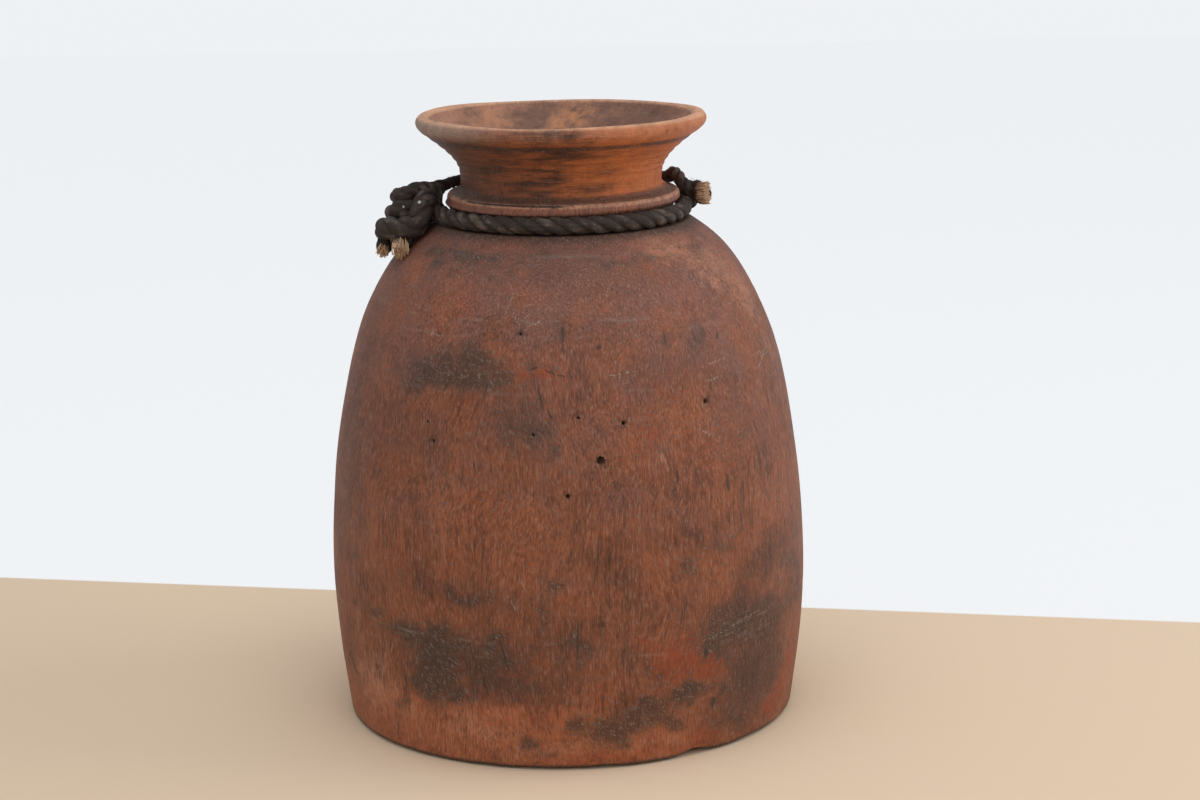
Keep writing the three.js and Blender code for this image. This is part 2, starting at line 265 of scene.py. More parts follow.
class Finish:
    """The nodes of one material."""

    def __init__(self, name):
        self.material = bpy.data.materials.new(name)
        self.material.use_nodes = True
        self.tree = self.material.node_tree
        self.tree.nodes.clear()
        self.shader = self.tree.nodes.new("ShaderNodeBsdfPrincipled")
        output = self.tree.nodes.new("ShaderNodeOutputMaterial")
        self.tree.links.new(self.shader.outputs[0], output.inputs[0])

    def give(self, socket, value):
        if isinstance(value, SocketMath):
            self.tree.links.new(value.socket, socket)
        elif hasattr(value, "__len__") and len(value) == 3 and socket.type == "RGBA":
            socket.default_value = (*value, 1)
        else:
            socket.default_value = value

    def node(self, kind, settings=None, values=None, output=0):
        made = self.tree.nodes.new(kind)
        for name, value in (settings or {}).items():
            setattr(made, name, value)
        for name, value in (values or {}).items():
            self.give(made.inputs[name], value)
        return SocketMath(self, made.outputs[output])

    def surface(self, **values):
        """Sets the shader's own sockets, named with _ for each space."""
        for name, value in values.items():
            self.give(self.shader.inputs[name.replace("_", " ").title().replace("Ior", "IOR")], value)

    def place(self):
        """Object coordinates in millimetres."""
        coordinates = self.node("ShaderNodeTexCoord", output="Object")
        return self.node(
            "ShaderNodeVectorMath", {"operation": "SCALE"}, {0: coordinates, "Scale": 1 / MM})

    def split(self, vector):
        parts = self.tree.nodes.new("ShaderNodeSeparateXYZ")
        self.give(parts.inputs[0], vector)
        return [SocketMath(self, socket) for socket in parts.outputs]

    def joined(self, x, y, z):
        return self.node("ShaderNodeCombineXYZ", values={0: x, 1: y, 2: z})

    def scaled(self, vector, scale, offset):
        return self.node(
            "ShaderNodeVectorMath", {"operation": "MULTIPLY_ADD"}, {0: vector, 1: scale, 2: offset})

    def noise(self, vector, detail=2.0, rough=0.5, output=0):
        """Noise with features about 1 wide."""
        return self.node("ShaderNodeTexNoise", values={
            "Vector": vector, "Scale": 1, "Detail": detail, "Roughness": rough}, output=output)

    def grain(self, vector, widths, shift=0, detail=2.0, rough=0.5, output=0):
        """Noise with features of the given widths along each axis."""
        scale = tuple(1 / width for width in widths)
        offset = (shift, shift * 1.7, -shift)
        return self.noise(self.scaled(vector, scale, offset), detail, rough, output)

    def attribute(self, name):
        return self.node("ShaderNodeAttribute", {"attribute_name": name}, output="Fac")

    def mix(self, amount, first, second, blend="MIX"):
        return self.node("ShaderNodeMix", {"data_type": "RGBA", "blend_type": blend}, {
            0: amount, 6: first, 7: second}, output=2)

    def mark(self, vector, x, y, half_width, half_height, tilt=0):
        """1 in the middle of a small ellipse in the plane of arc and height, falling to 0 at its edge."""
        local = self.node("ShaderNodeMapping", {"vector_type": "TEXTURE"}, {
            "Vector": vector, "Location": (x, y, 0), "Rotation": (0, 0, math.radians(tilt)),
            "Scale": (half_width, half_height, 1)})
        return self.node("ShaderNodeTexGradient", {"gradient_type": "SPHERICAL"}, {0: local}, output="Fac")

    def levels(self, value, stops):
        """Straight steps between (position, level) stops, both from 0 to 1."""
        made = self.node("ShaderNodeValToRGB", values={"Fac": value}, output="Color")
        ramp = made.socket.node.color_ramp
        while len(ramp.elements) < len(stops):
            ramp.elements.new(1)
        for element, (position, level) in zip(ramp.elements, sorted(stops)):
            element.position = position
            element.color = (level, level, level, 1)
        return made

    def bump(self, height, depth):
        """Normals of a relief: height is 0 to 1, and depth its size in millimetres."""
        return self.node("ShaderNodeBump", values={"Strength": 1, "Distance": depth * MM, "Height": height})


def deselect():
    if bpy.context.mode != "OBJECT":
        bpy.ops.object.mode_set(mode="OBJECT")
    bpy.ops.object.select_all(action="DESELECT")


def only(piece):
    deselect()
    piece.select_set(True)
    bpy.context.view_layer.objects.active = piece


def corners_of(mesh):
    co = np.zeros(len(mesh.vertices) * 3)
    mesh.vertices.foreach_get("co", co)
    return co.reshape(-1, 3)


def put_corners(mesh, co):
    mesh.vertices.foreach_set("co", co.ravel())
    mesh.update()


def new_mesh(name, corners, faces):
    mesh = bpy.data.meshes.new(name)
    mesh.from_pydata([tuple(c) for c in corners], [], [tuple(f) for f in faces])
    mesh.validate()
    piece = bpy.data.objects.new(name, mesh)
    bpy.context.scene.collection.objects.link(piece)
    return piece


def smooth_line(points, per_span=24):
    """Centripetal Catmull-Rom curve through the points, close enough together to measure."""
    p = np.array(points, float)
    p = np.vstack([2 * p[0] - p[1], p, 2 * p[-1] - p[-2]])
    line = [p[1]]
    for a, b, c, d in zip(p, p[1:], p[2:], p[3:]):
        before, span, after = (math.sqrt(np.linalg.norm(v)) for v in (b - a, c - b, d - c))
        leave = ((b - a) / before - (c - a) / (before + span) + (c - b) / span) * span
        reach = ((c - b) / span - (d - b) / (span + after) + (d - c) / after) * span
        for i in range(1, per_span + 1):
            t = i / per_span
            line.append(
                (2 * t**3 - 3 * t**2 + 1) * b + (t**3 - 2 * t**2 + t) * leave
                + (3 * t**2 - 2 * t**3) * c + (t**3 - t**2) * reach)
    return np.array(line)


def evenly(line, count):
    """Points along a line at equal distances, both ends kept."""
    run = np.concatenate([[0], np.cumsum(np.linalg.norm(np.diff(line, axis=0), axis=1))])
    at = np.linspace(0, run[-1], count)
    return np.stack([np.interp(at, run, line[:, k]) for k in range(line.shape[1])], axis=1)


def bezier(corners, count):
    """Points of a Bezier curve, without the last."""
    made = []
    for i in range(count):
        points = [Vector(c) for c in corners]
        while len(points) > 1:
            points = [a.lerp(b, i / count) for a, b in zip(points, points[1:])]
        made.append(tuple(points[0]))
    return made


def arc(middle, radius, start, end, count):
    """Points of an arc, in degrees, without the last."""
    turns = [math.radians(start + (end - start) * i / count) for i in range(count)]
    return [(middle[0] + radius * math.cos(t), middle[1] + radius * math.sin(t)) for t in turns]


def flank_line(shape):
    """The flank's outline, from the base's edge over the belly to the seat."""
    stations = [
        (shape.base_radius, shape.base_edge),
        (shape.hip_radius, shape.hip_height),
        (shape.belly_radius, shape.belly_height),
        (shape.flank_radius, shape.flank_height),
        (shape.upper_radius, shape.upper_height),
        (shape.shoulder_radius, shape.shoulder_height),
        (shape.seat_edge, shape.seat_height - 0.2 * MM),
    ]
    return smooth_line(stations)


def outer_outline(shape):
    """Radius and height of the pot's outside, from near the middle of the base to the crest of the lip."""
    edge = shape.base_edge
    cove = 1.8 * MM
    lip = (shape.lip_middle, shape.lip_height)
    under_lip = arc(lip, shape.lip_radius, -45, 0, 1)[0]
    neck = shape.lip_height - shape.waist_height
    reach = under_lip[0] - shape.waist_radius
    rest = shape.base_radius - edge
    return [
        (6 * MM, 0), (rest * 0.7, 0), (rest - 3 * MM, 0),
        *arc((rest, edge), edge, -90, 0, 3),
        *[tuple(p) for p in evenly(flank_line(shape), 27)[:-1]],
        (shape.seat_edge, shape.seat_height - 0.5 * MM),
        (shape.seat_edge - 0.9 * MM, shape.seat_height),
        (shape.seat_edge - 4 * MM, shape.seat_height),
        *arc((shape.groove_radius + cove, shape.seat_height + cove), cove, 270, 180, 2),
        (shape.groove_radius, shape.seat_height + 2 * cove),
        (shape.groove_radius + 0.2 * MM, shape.collar_foot - 1.8 * MM),
        *[(shape.collar_radius - inset * MM, shape.collar_foot + up * MM) for inset, up in COLLAR_LOW],
        *[(shape.collar_radius - inset * MM, shape.collar_top + up * MM) for inset, up in COLLAR_HIGH],
        *bezier([
            (shape.collar_radius - 3.6 * MM, shape.collar_top + 1.5 * MM),
            (shape.waist_radius + 0.5 * MM, shape.collar_top + 2.8 * MM),
            (shape.waist_radius, shape.waist_height)], 4),
        *bezier([
            (shape.waist_radius, shape.waist_height),
            (shape.waist_radius, shape.waist_height + 0.43 * neck),
            (shape.waist_radius + 0.44 * (reach + shape.lip_radius * 0.3), shape.waist_height + 0.6 * neck),
            under_lip], 8),
        *arc(lip, shape.lip_radius, -45, 100, 6),
    ]


def inner_outline(shape):
    """Radius and height of the hollow, from the lip's crest to near the middle of the floor."""
    lip = (shape.lip_middle, shape.lip_height)
    inside = arc(lip, shape.lip_radius, 160, 0, 1)[0]
    neck = shape.lip_height - shape.waist_height
    throat_end = shape.waist_height - 13 * MM
    flank = evenly(flank_line(shape), 60)
    along = np.gradient(flank, axis=0)
    along /= np.linalg.norm(along, axis=1)[:, None]
    wall = flank + shape.wall * np.stack([-along[:, 1], along[:, 0]], axis=1)
    corner = 24 * MM
    low = shape.floor + corner
    side = wall[(wall[:, 1] > low) & (wall[:, 1] < 234 * MM)][::-9]
    foot = side[-1][0] - corner
    return [
        *arc(lip, shape.lip_radius, 100, 160, 2),
        *bezier([
            inside, (shape.lip_middle - 1.5 * shape.lip_radius, shape.lip_height - shape.lip_radius),
            (shape.throat_radius, shape.waist_height + 0.55 * neck),
            (shape.throat_radius, shape.waist_height)], 5),
        *bezier([
            (shape.throat_radius, shape.waist_height), (shape.throat_radius, throat_end),
            (shape.throat_radius + 3 * MM, side[0][1] + 6 * MM), tuple(side[0])], 3),
        *[tuple(p) for p in side],
        *arc((foot, low), corner, 0, -90, 3),
        (foot, shape.floor), (6 * MM, shape.floor),
    ]


def raise_rings(name, outline, segments):
    """Draws a closed vessel as by hand: a disc is extruded and scaled, ring by ring."""
    deselect()
    radius, height = outline[0]
    bpy.ops.mesh.primitive_circle_add(
        vertices=segments, radius=radius, fill_type="NGON", location=(0, 0, 0))
    piece = bpy.context.active_object
    piece.name = piece.data.name = name
    bpy.ops.object.mode_set(mode="EDIT")
    bpy.ops.mesh.select_all(action="SELECT")
    for next_radius, next_height in outline[1:]:
        bpy.ops.mesh.extrude_region_move(
            TRANSFORM_OT_translate={"value": (0, 0, next_height - height)})
        factor = next_radius / radius
        bpy.ops.transform.resize(value=(factor, factor, 1), center_override=(0, 0, next_height))
        radius, height = next_radius, next_height
    bpy.ops.mesh.select_all(action="SELECT")
    bpy.ops.mesh.normals_make_consistent(inside=False)
    bpy.ops.object.mode_set(mode="OBJECT")
    return piece


def smooth_over(piece, levels):
    """Rounds a piece with a subdivision surface and keeps the result."""
    only(piece)
    modifier = piece.modifiers.new("Rounded", "SUBSURF")
    modifier.levels = modifier.render_levels = levels
    bpy.ops.object.modifier_apply(modifier=modifier.name)
    bpy.ops.object.shade_smooth()


def bell(distance, width):
    """1 at no distance, falling like a bell."""
    return np.exp(-((distance / width) ** 2))


def fade(value, low, high):
    """0 below low and 1 above high, with a smooth step."""
    t = np.clip((value - low) / (high - low), 0, 1)
    return t * t * (3 - 2 * t)


def band(value, low, full, end, over):
    """1 from full to end, falling to 0 at low and at over."""
    return fade(value, low, full) * (1 - fade(value, end, over))


def rough_field(co, grain, seed):
    """Noise from -1 to 1 at each point, for features of the size grain."""
    shift = Vector((seed * 3.1, seed * 1.7, seed * 2.3))
    return np.array([noise.noise(Vector(c) / grain + shift) for c in co])


class PotSkin:
    """The pot's mesh in round coordinates: angle from the front in degrees, arc and height in millimetres."""

    # How far out a blot is still full, and where it has ended, in shares of its half size
    BLOT_FULL = 0.25
    BLOT_END = 1.75

    def __init__(self, piece, shape):
        self.co = corners_of(piece.data)
        self.radius = np.hypot(self.co[:, 0], self.co[:, 1]) / MM
        self.height = self.co[:, 2] / MM
        self.angle = np.degrees(np.arctan2(self.co[:, 0], -self.co[:, 1]))
        # The flat rings of the base and of the floor don't rise, so they are left out.
        outer = np.array(outer_outline(shape)[5:]) / MM
        self.skin = np.interp(self.height, outer[:, 1], outer[:, 0])
        inner = np.array(inner_outline(shape)[::-1][3:]) / MM
        hollow = np.interp(self.height, inner[:, 1], inner[:, 0])
        middle = (self.skin + hollow) / 2
        above_floor = self.height > shape.floor / MM - 4
        self.inside = ((self.radius < middle) & above_floor).astype(float)
        self.outside = 1 - self.inside
        self.stray_arc = rough_field(self.co, 15 * MM, 21) * 7 + rough_field(self.co, 6 * MM, 22) * 3.5
        self.stray_height = rough_field(self.co, 13 * MM, 23) * 5 + rough_field(self.co, 5 * MM, 24) * 3

    def arc_from(self, angle):
        """Distance round the pot from an angle, in millimetres."""
        apart = (self.angle - angle + 180) % 360 - 180
        return np.radians(apart) * self.radius

    def blot(self, angle, height, half_width, half_height):
        """Soft patch: 1 in its middle, a half at its edge and 0 well outside."""
        across = (self.arc_from(angle) + self.stray_arc) / half_width
        up = (self.height + self.stray_height - height) / half_height
        share = (self.BLOT_END - np.hypot(across, up)) / (self.BLOT_END - self.BLOT_FULL)
        return np.clip(share, 0, 1)

    def stained(self, blots):
        """The strongest of many soft patches."""
        total = np.zeros(len(self.co))
        for angle, height, half_width, half_height, strength in blots:
            total = np.maximum(total, strength * self.blot(angle, height, half_width, half_height))
        return total


# Dents and lost chips: angle, height, half width, half height and depth, in degrees and millimetres
DENTS = [
    (-6, 184, 2.2, 7, 0.7), (-5, 176, 1.8, 5, 0.5), (0, 208, 1.3, 8, 0.5), (39, 202, 2, 6, 0.6),
    (47, 201, 1.5, 4, 0.5), (29, 204, 1.6, 3, 0.6), (24, 150, 2.4, 4, 0.5), (-8, 163, 2.2, 3, 0.4),
    (-6, 192, 6, 1.6, 0.5), (56, 171, 3, 2, 0.4), (-40, 17, 3, 7, 0.5), (-64, 92, 6, 10, 0.4),
    (16, 58, 3, 3, 0.4), (20, 42, 4, 6, 0.5), (-34, 46, 10, 9, 0.35), (41, 62, 13, 6, 0.4),
    (150, 120, 5, 16, 0.6), (-120, 60, 7, 9, 0.6), (120, 205, 8, 3, 0.5), (-160, 190, 3, 10, 0.6),
    (95, 40, 6, 5, 0.5), (-100, 160, 4, 6, 0.5), (178, 40, 9, 6, 0.5),
]

# Turned and scored rings round the body: height, half width and depth in millimetres, angle where deepest
RINGS = [
    (213, 0.8, 0.30, 20), (206.5, 0.7, 0.18, 60), (184.5, 0.8, 0.22, 45), (181.5, 0.7, 0.15, 60),
    (240.5, 0.9, 0.22, -30), (64.5, 0.8, 0.25, 40), (60.5, 0.8, 0.30, 42), (56.5, 0.8, 0.22, 44),
    (118, 0.9, 0.15, 160), (222, 0.8, 0.2, 150),
]

# Worm holes: angle, height and radius, in degrees and millimetres
WORM_HOLES = [
    (8, 150.6, 2.1), (14, 167.1, 1.2), (37, 172.3, 1.3), (-34, 157.1, 1.2), (-36, 165.6, 0.8),
    (0, 134.9, 1.1), (3, 170.4, 0.9), (-12, 207.8, 0.8), (-8, 163, 0.9), (130, 140, 1.3),
    (160, 90, 1.0), (-150, 170, 1.2), (-110, 110, 1.0), (-95, 196, 1.1), (100, 62, 1.2),
]


def cut_by_hand(skin, wobble):
    """How far out the tools, the turned rings and the dents leave each point, in millimetres."""
    height, angle = skin.height, skin.angle
    push = rough_field(skin.co, 60 * MM, 1) * wobble * 1.3
    push += rough_field(skin.co * (1, 1, 0.35), 17 * MM, 2) * wobble * 0.55
    push += rough_field(skin.co * (1, 1, 0.2), 6 * MM, 3) * wobble * 0.2
    push += 0.45 * np.cos(np.radians(2 * (angle - 25))) * fade(height, 0, 60)
    for ring_height, width, depth, deepest in RINGS:
        drift = ring_height + 0.9 * np.sin(np.radians(angle * 2 + ring_height * 7))
        strength = 0.25 + 0.75 * bell(np.abs((angle - deepest + 180) % 360 - 180), 45)
        push -= depth * strength * bell(height - drift, width)
    for dent_angle, dent_height, half_width, half_height, depth in DENTS:
        reach = np.hypot(skin.arc_from(dent_angle) / half_width, (height - dent_height) / half_height)
        push -= depth * np.clip(1 - reach, 0, 1) ** 0.7
    push *= (1 - band(height, *ROPE_ZONE)) * skin.outside * fade(height, -1, 4)
    neck = band(height, *NECK_ZONE) * skin.outside
    push += neck * 0.22 * np.sin(height * 1.9 + 0.7 * np.sin(np.radians(angle)))
    push -= neck * 0.5 * bell(height - 289.5, 0.9) * bell(angle - 5, 40)
    return push


def carve(piece, shape):
    """Moves the smooth pot's surface to what a hand-cut and long-used one has."""
    skin = PotSkin(piece, shape)
    height, angle, outside = skin.height, skin.angle, skin.outside
    out = skin.co[:, :2] / np.maximum(skin.radius[:, None] * MM, 1e-6)
    co = skin.co.copy()
    co[:, :2] += out * cut_by_hand(skin, shape.wobble / MM)[:, None] * MM

    # Collar: a little off the middle, with a line scored in its upper edge
    co[:, 0] += shape.collar_shift * band(height, *COLLAR_ZONE) * outside
    scored = bell(height - 261.4, 0.4) * band(angle, -60, -50, -6, 4)
    co[:, :2] -= out * (0.8 * scored * outside * fade(skin.radius, 54, 55.5))[:, None] * MM

    # Foot: worn uneven, and chipped at the front
    low = (1 - fade(height, 2, 7)) * outside * fade(skin.radius, 104, 111)
    worn_foot = rough_field(skin.co, 11 * MM, 5) * 0.7 + rough_field(skin.co, 30 * MM, 6) * 0.5
    chip = bell(skin.arc_from(32), 9) * 2.4 + bell(skin.arc_from(-2), 24) * 0.6
    co[:, 2] += low * (np.maximum(worn_foot, 0) + chip) * MM
    co[:, :2] -= out * (low * chip * 0.5)[:, None] * MM

    # Rim: rises and falls, and spreads at the sides
    rim = fade(height, 288, 297)
    lift = 0.5 * np.sin(np.radians(2 * angle - 80)) + 0.2 * np.sin(np.radians(5 * angle))
    co[:, 2] += rim * lift * MM
    spread = 0.65 - 0.65 * np.cos(np.radians(2 * angle)) + 0.3 * np.sin(np.radians(angle))
    co[:, :2] += out * (rim * spread)[:, None] * MM
    put_corners(piece.data, co)


def drill(piece, shape):
    """Cuts the worm holes: a tapered cutter for each, joined into one, and a boolean cut."""
    flank = flank_line(shape)
    clear = 2 * MM
    cutters = []
    for index, (angle, height, radius) in enumerate(WORM_HOLES):
        depth = min(2 * radius, 3) * MM
        out = float(np.interp(height * MM, flank[:, 1], flank[:, 0])) + clear - depth
        turn = math.radians(angle)
        deselect()
        bpy.ops.mesh.primitive_cone_add(
            vertices=14, radius1=radius * 0.5 * MM, radius2=radius * 1.3 * MM, depth=2 * clear + depth,
            location=(math.sin(turn) * out, -math.cos(turn) * out, height * MM),
            rotation=(math.pi / 2, 0, turn))
        bpy.ops.object.mode_set(mode="EDIT")
        bpy.ops.mesh.subdivide(number_cuts=1)
        bpy.ops.transform.vertex_random(offset=0.17 * radius * MM, seed=index)
        bpy.ops.object.mode_set(mode="OBJECT")
        cutters.append(bpy.context.active_object)
    only(cutters[0])
    for cutter in cutters:
        cutter.select_set(True)
    bpy.ops.object.join()
    cutter = bpy.context.active_object
    bpy.ops.object.transform_apply(location=True, rotation=True, scale=True)
    only(piece)
    cut = piece.modifiers.new("Worm holes", "BOOLEAN")
    cut.operation = "DIFFERENCE"
    cut.solver = "EXACT"
    cut.object = cutter
    bpy.ops.object.modifier_apply(modifier=cut.name)
    bpy.data.objects.remove(cutter)


# Patches inside the mouth: angle, height, half width, half height and strength
MOUTH_DARK = [
    (-157, 285, 9, 4, 0.4), (-162, 289, 8, 4, 0.45), (-168, 293, 7, 4, 0.45), (-173, 297, 7, 3, 0.4),
    (172, 293, 2.5, 1.6, 0.9), (150, 292, 15, 9, 0.5), (132, 295, 14, 6, 0.4), (162, 289, 4, 8, 0.5),
    (104, 293, 14, 5, 0.3), (178, 282, 20, 3, 0.4), (-120, 290, 14, 4, 0.2),
]
MOUTH_PALE = [(175, 291, 9, 5, 1), (167, 295, 6, 4, 0.8), (180, 287, 7, 3, 0.7), (-140, 290, 12, 4, 0.45)]

# Broad soft shades, among them painted shade in a band under the rope and down the left side: the same values
DUSK = [
    (50, 38, 26, 24, 1.2), (48, 61, 32, 15, 1.2), (46, 16, 20, 10, 0.8), (-52, 238, 24, 6, 0.6),
    (-24, 54, 40, 15, 0.9), (-14, 44, 26, 13, 0.85),
    (-34, 40, 20, 18, 0.6), (0, 62, 26, 12, 0.5), (-8, 46, 24, 10, 0.6), (20, 76, 20, 10, 0.4),
    (-68, 150, 22, 60, 0.65), (-45, 165, 34, 22, 0.4), (-12, 166, 24, 18, 0.5), (52, 88, 34, 18, 0.55),
    (70, 70, 18, 26, 0.5), (30, 190, 34, 10, 0.4), (-40, 90, 40, 12, 0.35), (-34, 58, 40, 14, 0.4),
    (-60, 215, 26, 22, 0.35), (-20, 236, 50, 9, 0.55), (18, 232, 40, 8, 0.4), (0, 100, 18, 12, 0.25),
    (30, 30, 36, 16, 0.5), (-10, 68, 18, 14, 0.3), (44, 150, 14, 18, 0.35), (14, 206, 34, 8, 0.35),
    (-16, 216, 16, 8, 0.35), (60, 205, 20, 8, 0.3), (130, 110, 40, 40, 0.4), (-140, 190, 50, 30, 0.4),
    (180, 60, 40, 20, 0.5), (-110, 80, 30, 50, 0.4), (110, 210, 30, 20, 0.4), (180, 236, 90, 8, 0.5),
]

# Where fine scratches lie side by side: the same values
SCUFFED = [
    (42, 61, 30, 9, 1), (67, 186, 16, 5, 1), (-16, 218, 14, 6, 0.7), (14, 186, 14, 3, 0.6),
    (42, 182, 20, 3, 0.6), (-36, 206, 20, 4, 0.6), (20, 208, 60, 2.5, 0.5), (-30, 187, 22, 7, 0.6),
    (48, 158, 6, 4, 0.9), (12, 64, 26, 6, 0.45), (-34, 62, 18, 5, 0.5), (60, 212, 24, 4, 0.7),
    (-20, 236, 24, 3, 0.6), (150, 150, 30, 12, 0.6), (-150, 110, 30, 14, 0.6), (110, 60, 30, 8, 0.7),
]

# Old grease and dirt, and thin bands of painted shade under the rope: angle, height, half width, half height
# and strength
GREASE = [
    (-29, 188, 29, 9, 1), (-24, 196, 16, 6, 0.8), (-38, 183, 16, 7, 0.8), (-16, 190, 12, 5, 0.7),
    (-40, 240, 44, 3.5, 0.75), (-14, 240, 30, 2.5, 0.55), (24, 237, 40, 2.5, 0.6), (6, 243, 30, 2.5, 0.5),
    (-36, 63, 24, 7, 0.95), (-34, 47, 15, 17, 1), (-28, 36, 10, 6, 0.8), (-52, 70, 18, 5, 0.6),
    (-23, 87, 17, 5, 0.75), (-4, 92, 6, 6, 0.7), (-14, 84, 12, 6, 0.55), (-6, 80, 4, 9, 0.6),
    (-16, 60, 8, 16, 0.6), (-20, 48, 5, 14, 0.5), (41, 62, 26, 8, 0.6), (52, 68, 20, 7, 0.45),
    (66, 82, 14, 9, 0.6), (34, 56, 10, 7, 0.7), (72, 96, 10, 12, 0.6), (17, 27, 20, 8, 0.9),
    (10, 20, 14, 8, 0.95), (26, 33, 12, 6, 0.85), (24, 22, 10, 6, 0.8), (1, 23, 6, 8, 0.85),
    (-9, 13, 4, 5, 0.85), (-6, 8, 4, 3, 0.7), (36, 26, 6, 14, 0.5), (46, 34, 16, 14, 0.4),
    (50, 20, 14, 8, 0.4), (38, 14, 8, 6, 0.5), (-8, 164, 14, 11, 0.55), (-14, 172, 8, 16, 0.4),
    (-4, 156, 6, 7, 0.6), (-48, 150, 16, 14, 0.3), (-62, 90, 10, 8, 0.5), (26, 98, 8, 6, 0.65),
    (36, 104, 10, 5, 0.5), (44, 110, 12, 5, 0.5), (52, 190, 10, 10, 0.35), (64, 186, 12, 12, 0.4),
    (10, 212, 26, 3, 0.4), (-2, 208, 3, 10, 0.6), (39, 202, 4, 8, 0.7), (29, 204, 3, 5, 0.6),
    (28, 190, 10, 8, 0.35), (16, 186, 7, 9, 0.4), (47, 150, 4, 8, 0.45), (39, 146, 4, 7, 0.5),
    (2, 66, 2.2, 14, 0.7), (20, 46, 9, 9, 0.5), (14, 58, 5, 4, 0.6), (-44, 24, 8, 5, 0.6),
    (-66, 40, 8, 20, 0.5), (-76, 120, 9, 30, 0.3), (80, 150, 8, 24, 0.3),
    (120, 190, 30, 12, 0.8), (150, 120, 16, 30, 0.7), (-150, 60, 30, 14, 0.9), (-110, 190, 20, 10, 0.7),
    (100, 60, 24, 12, 0.8), (170, 226, 34, 5, 0.8), (-130, 238, 30, 4, 0.7), (-100, 30, 18, 10, 0.8),
    (135, 28, 26, 9, 0.8), (180, 80, 14, 10, 0.7), (-170, 150, 9, 24, 0.5), (-90, 100, 14, 9, 0.6),
    (110, 120, 9, 14, 0.5), (-125, 130, 10, 20, 0.5), (175, 20, 30, 7, 0.8), (90, 215, 20, 5, 0.5),
]

# Bare orange and red wood: the same values
EMBER = [
    (25, 54, 18, 9, 1), (34, 46, 10, 9, 0.9), (18, 62, 9, 7, 0.7), (28, 42, 16, 5, 0.7),
    (-10, 29, 20, 6, 0.75), (-3, 27, 14, 6, 0.7), (-20, 26, 14, 6, 0.6), (10, 5, 34, 4.5, 1),
    (32, 10, 12, 6, 0.9), (-6, 16, 26, 4, 0.6), (62, 20, 9, 12, 0.95), (70, 30, 8, 14, 0.85),
    (58, 10, 12, 5, 0.8), (-26, 55, 7, 14, 0.6), (-26, 70, 14, 6, 0.35), (6, 36, 8, 5, 0.5),
    (-8, 193, 6, 3, 0.85), (10, 160, 20, 12, 0.25), (20, 161, 10, 5, 0.5), (-20, 150, 26, 20, 0.22),
    (0, 110, 34, 26, 0.18), (-40, 210, 12, 10, 0.35), (-30, 216, 14, 8, 0.4), (-44, 122, 20, 14, 0.25),
    (140, 40, 22, 8, 0.8), (-150, 30, 26, 7, 0.8), (-100, 14, 20, 6, 0.8), (100, 20, 14, 8, 0.8),
    (170, 60, 16, 10, 0.6), (-130, 90, 16, 14, 0.4), (120, 160, 12, 18, 0.35), (180, 10, 30, 5, 0.9),
]

# Rubbed, paler wood, and painted sheen on the right shoulder and down the right side: the same values
WORN = [
    (-24, 20, 24, 11, 0.6), (-6, 10, 26, 8, 0.55), (-16, 28, 16, 6, 0.5), (24, 10, 26, 5, 0.5),
    (-32, 24, 14, 6, 0.5), (60, 24, 7, 12, 0.5),
    (-56, 30, 22, 16, 0.8), (-50, 45, 10, 12, 0.55), (-40, 20, 4, 5, 0.9), (-39, 12, 3, 3, 0.9),
    (-62, 52, 12, 14, 0.5), (24, 150, 2.6, 4.5, 1), (44, 240, 24, 8, 0.75), (58, 230, 20, 12, 0.8),
    (70, 215, 16, 18, 0.7), (74, 180, 10, 30, 0.5), (80, 130, 8, 40, 0.5), (84, 90, 7, 40, 0.45),
    (14, 228, 20, 9, 0.35), (-58, 225, 12, 10, 0.4), (-50, 200, 10, 12, 0.25), (4, 178, 16, 8, 0.3),
    (30, 130, 22, 14, 0.25), (8, 120, 16, 16, 0.25), (-70, 140, 12, 30, 0.4), (50, 120, 14, 24, 0.25),
    (130, 230, 26, 8, 0.5), (-140, 215, 18, 12, 0.4), (160, 150, 20, 20, 0.35), (-170, 110, 18, 16, 0.35),
    (-110, 145, 16, 24, 0.35), (110, 90, 14, 20, 0.35), (150, 60, 12, 8, 0.5),
]


def paint(piece, shape):
    """Writes what has happened to each part of the surface, and where painted shade and sheen go, as
    attributes for the wood's material.
    """
    skin = PotSkin(piece, shape)
    layers = {"grease_and_shade": (GREASE, MOUTH_DARK), "ember": (EMBER, MOUTH_PALE), "worn": (WORN, []),
              "dusk": (DUSK, []), "scuffed": (SCUFFED, [])}
    for name, (outer, inner) in layers.items():
        total = skin.stained(outer) * skin.outside + skin.stained(inner) * skin.inside
        write_attribute(piece, name, total)
    write_attribute(piece, "inside", skin.inside)
    # Painted shade inside the worm holes, where the surface lies below the skin
    body = (skin.height > 12) & (skin.height < 222) & (skin.outside > 0)
    bore_shade = np.where(body, np.clip((skin.skin - skin.radius - 1.4) / 1.2, 0, 1), 0)
    write_attribute(piece, "bore_shade", bore_shade)
    halo = np.zeros(len(skin.co))
    for angle, height, radius in WORM_HOLES:
        reach = np.hypot(skin.arc_from(angle), skin.height - height) * skin.outside
        halo = np.maximum(halo, 1 - fade(reach, radius + 0.4, radius + 2.6))
    write_attribute(piece, "halo", halo * skin.outside)


def write_attribute(piece, name, values):
    """Keeps a value at each corner, for a material to read."""
    layer = piece.data.attributes.new(name, "FLOAT", "POINT")
    layer.data.foreach_set("value", values.astype(np.float32))


# Pale scratches on the front: angle, height, half length, tilt in degrees
SCRATCHES = [
    (-16, 221, 8, 68), (-14, 217, 6, 120), (-19, 218, 5, 100), (-11, 215, 7, 40), (-8, 213, 6, 20),
    (68, 188, 10, 24), (64, 184, 9, 22), (15, 190, 12, 4), (43, 190, 10, 4), (-40, 206, 14, -3),
    (36, 159, 5, -35), (39, 157.5, 4, 45), (40.5, 182.5, 7, 3), (-12, 82, 10, -62), (-9, 90, 9, -60),
    (38, 62, 14, 12), (46, 66, 12, 10),
]

